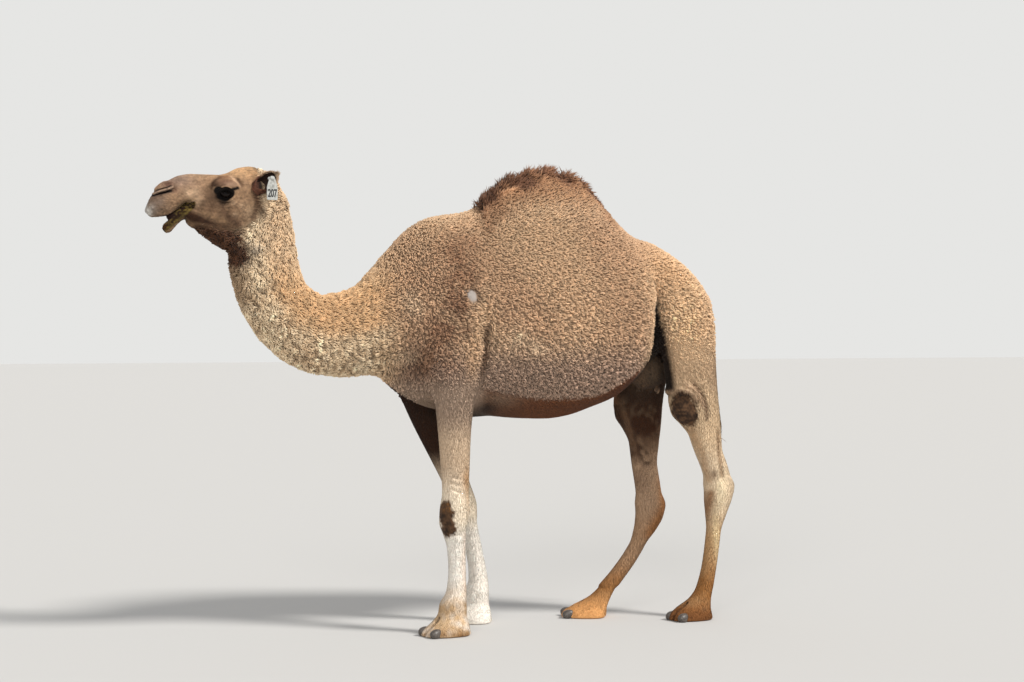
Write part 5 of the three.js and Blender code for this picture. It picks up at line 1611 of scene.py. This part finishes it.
# Horn, grown in rings and worn on the ground: dark grey, slightly polished, paler where it is scuffed.
horn, tree, shader = finish("horn_nail_worn", 0.42)
place = add(tree, "ShaderNodeTexCoord")
grow = add(tree, "ShaderNodeMapping", [("Vector", place, "Object"), ("Scale", (60.0, 420.0, 140.0))])
growth = add(tree, "ShaderNodeTexNoise", [("Vector", grow, "Vector"), ("Scale", 1.0), ("Detail", 3.0)])
tones = add(tree, "ShaderNodeValToRGB", [("Fac", growth, "Fac")])
tones.color_ramp.elements[0].position, tones.color_ramp.elements[1].position = 0.35, 0.72
tones.color_ramp.elements[0].color = (*linear("#3a3431"), 1)
tones.color_ramp.elements[1].color = (*linear("#655d55"), 1)
bump = add(tree, "ShaderNodeBump", [("Height", growth, "Fac"), ("Strength", 0.4), ("Distance", 0.0008)])
tree.links.new(tones.outputs[0], shader.inputs["Base Color"])
tree.links.new(bump.outputs[0], shader.inputs["Normal"])
# A nail, in millimetres: how far its middle is behind the toes' tips, how far aside as a share of the foot's
# half width, and how high; its half sizes, and how far its front is tipped down, in radians.
NAIL = dict(back=37, aside=0.52, height=17, radii=(27, 19, 24), tilt=0.55)
nails = []
for name, (build, joints) in LEGS.items():
    ahead, half = build[-2][1], build[-2][3]
    turn = -np.sign(joints[4][1]) * TOE_OUT
    for side in (-1, 1):
        lat = np.linspace(0.03, np.pi - 0.03, 26)[:, None]
        lon = np.linspace(0, 2 * np.pi, 36, endpoint=False)[None]
        along = -np.cos(lat)
        # wider ahead than behind, with faint rings of growth
        ring = np.sin(lat) ** 0.8 * (1 + 0.01 * np.sin(along * 16)) * (1 - 0.26 * along)
        q = np.stack([(along + 0 * lon) * NAIL["radii"][0], ring * np.sin(lon) * NAIL["radii"][1] * 1.02,
                      ring * np.cos(lon) * NAIL["radii"][2]], -1)
        q = q @ spun(1, -NAIL["tilt"]) + [NAIL["back"] - ahead, side * NAIL["aside"] * half, NAIL["height"]]
        p, t = shell(q @ spun(2, turn) + np.array(joints[4]))
        p[:, 2] = np.maximum(p[:, 2], 0.002)
        nails.append((p, t))
p, t = together(nails)
nails = piece("nails", p, t, horn)
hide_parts(*[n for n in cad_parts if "nail" in n])

# ---------------------------------------------------------------- the ear tag

# Polyurethane, moulded: pale grey, soft sheen, a little grime.
plastic, tree, shader = finish("polyurethane_moulded_pale", 0.45)
place = add(tree, "ShaderNodeTexCoord")
grime = add(tree, "ShaderNodeTexNoise", [("Vector", place, "Object"), ("Scale", 90.0), ("Detail", 5.0)])
tones = add(tree, "ShaderNodeValToRGB", [("Fac", grime, "Fac")])
tones.color_ramp.elements[0].color = (*linear("#8b8c86"), 1)
tones.color_ramp.elements[1].color = (*linear("#b7b8b3"), 1)
tones.color_ramp.elements[0].position, tones.color_ramp.elements[1].position = 0.3, 0.55
tree.links.new(tones.outputs[0], shader.inputs["Base Color"])
ink, _, shader = finish("ink_black_printed", 0.5)
shader.inputs["Base Color"].default_value = (*linear("#1b1b1d"), 1)
TAG = dict(at=(-1.131, -0.134, 1.940), turn=0.2, wide=0.050, tall=0.056, neck=0.046, button=0.009)
THICK = 0.0025


def hung(p):
    """Carries points made flat (X across, Y deep, Z up) to the tag's place."""
    return p @ spun(2, TAG["turn"]) + np.array(TAG["at"])


def rounded(corners, count=160, soft=7):
    """An outline through corners, walked at an even pace and averaged, so that its corners are round."""
    c = np.vstack([corners, corners[:1]])
    far = np.concatenate([[0], np.cumsum(np.linalg.norm(np.diff(c, axis=0), axis=1))])
    at = np.linspace(0, far[-1], count, endpoint=False)
    line = np.stack([np.interp(at, far, c[:, k]) for k in (0, 1)], -1)
    wide = np.vstack([line[-soft:], line, line[:soft]])
    share = np.ones(2 * soft + 1) / (2 * soft + 1)
    return np.stack([np.convolve(wide[:, k], share, "valid") for k in (0, 1)], -1)


def stacked(outline, layers):
    """A flat plate with softened edges: its outline, drawn in by an inset at each depth, hung in place."""
    middle = outline.mean(0)
    size = np.linalg.norm(outline - middle, axis=1, keepdims=True)
    rings = []
    for y, inset in layers:
        ring = middle + (outline - middle) * (1 - inset / size)
        rings.append(np.stack([ring[:, 0], np.full(len(ring), y), ring[:, 1]], -1))
    return shell(hung(np.array(rings)) * 1000)


def disc(radius):
    """A circle round the tag's button."""
    a = np.linspace(0, 2 * np.pi, 48, endpoint=False)
    return np.stack([radius * np.cos(a), TAG["neck"] - TAG["button"] + radius * np.sin(a)], -1)


half, tall, neck = TAG["wide"] / 2, TAG["tall"], TAG["neck"]
outline = rounded(np.array([(-half, -tall), (half, -tall), (half, 0), (half * 0.36, neck),
                            (-half * 0.36, neck),
                            (-half, 0)]), soft=4)
p, t = together([
    stacked(outline, [(0, 0.0007), (-0.0007, 0), (-THICK + 0.0007, 0), (-THICK, 0.0007)]),  # the plate
    stacked(disc(TAG["button"]), [(-THICK + 0.0003, 0.0005), (-THICK - 0.0012, 0), (-THICK - 0.0026, 0.0008),
                                  (-THICK - 0.0034, 0.0045)]),  # its button
    # the pin through the ear
    stacked(disc(0.003), [(0.040, 0.0012), (0.036, 0), (0.001, 0), (-THICK * 0.5, 0)]),
    stacked(disc(0.0075), [(0.030, 0.001), (0.029, 0), (0.027, 0), (0.026, 0.001)]),  # and its washer
])
tag = piece("tag_plate", p, t, plastic, smooth=False)
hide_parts("ear_tag")
words = bpy.data.curves.new("digits", "FONT")
words.body, words.size, words.align_x, words.space_character = "207", 0.044, "CENTER", 0.95
words.extrude, words.offset = 0.0002, 0.0011
letters = linked("digits", words)
bpy.context.view_layer.update()
p, t = measured(letters)
bpy.data.objects.remove(letters)
# The digits stand a hair's breadth off the plate's face, narrowed to fit it.
p = np.stack([p[:, 0] * 0.66, -THICK - 0.00025 - p[:, 2], p[:, 1] * 1.05 - TAG["tall"] * 0.76], -1)
piece("tag_digits", hung(p) + OFF, t, ink, smooth=False)

# ---------------------------------------------------------------- floor, light and camera

floor_mesh = bpy.data.meshes.new("floor")
floor_mesh.from_pydata([(-60, -60, 0), (60, -60, 0), (60, 60, 0), (-60, 60, 0)], [], [(0, 1, 2, 3)])
floor = linked("floor", floor_mesh)
# A floor painted pale and matt.
paper, _, shader = finish("floor_painted_pale", 0.9)
shader.inputs["Base Color"].default_value = (0.58, 0.575, 0.56, 1)
floor_mesh.materials.append(paper)

# The world lights softly from all round, and shows a plain pale backdrop to the camera, gloss and glass.
world = bpy.data.worlds.new("studio")
world.use_nodes = True
tree = world.node_tree
glow = tree.nodes["Background"]
glow.inputs["Color"].default_value = (0.93, 0.94, 0.96, 1)
glow.inputs["Strength"].default_value = 0.46
seen = add(tree, "ShaderNodeLightPath")
either = add(tree, "ShaderNodeMath", [(0, seen, "Is Camera Ray"), (1, seen, "Is Glossy Ray")],
             operation="MAXIMUM")
any_of = add(tree, "ShaderNodeMath", [(0, either, "Value"), (1, seen, "Is Transmission Ray")],
             operation="MAXIMUM")
backdrop = add(tree, "ShaderNodeBackground", [("Color", (0.79, 0.79, 0.775, 1)), ("Strength", 1.0)])
shown = add(tree, "ShaderNodeMixShader", [(0, any_of, "Value"), (1, glow, "Background"),
                                          (2, backdrop, "Background")])
tree.links.new(shown.outputs[0], tree.nodes["World Output"].inputs["Surface"])
bpy.context.scene.world = world
LAMPS = {"key": dict(power=3.0, angle=0.20, tilt=44, turn=46, colour=(1, 0.97, 0.93)),
         "fill": dict(power=1.0, angle=0.5, tilt=66, turn=-30, colour=(1, 0.98, 0.96))}
for name, how in LAMPS.items():
    lamp = bpy.data.lights.new(name, "SUN")
    lamp.energy, lamp.angle, lamp.color = how["power"], how["angle"], how["colour"]
    linked(name, lamp).rotation_euler = (math.radians(how["tilt"]), 0, math.radians(how["turn"]))

camera = bpy.data.cameras.new("camera")
camera.lens, camera.sensor_width, camera.shift_y, camera.clip_end = 65, 36, -15 / 1024, 200
viewpoint = linked("camera", camera)
viewpoint.location = (ALONG - 2.856, -7.846, 1.35)
viewpoint.rotation_euler = (math.radians(90), 0, math.radians(-20))
bpy.context.scene.camera = viewpoint
bpy.context.scene.view_settings.view_transform = "Standard"
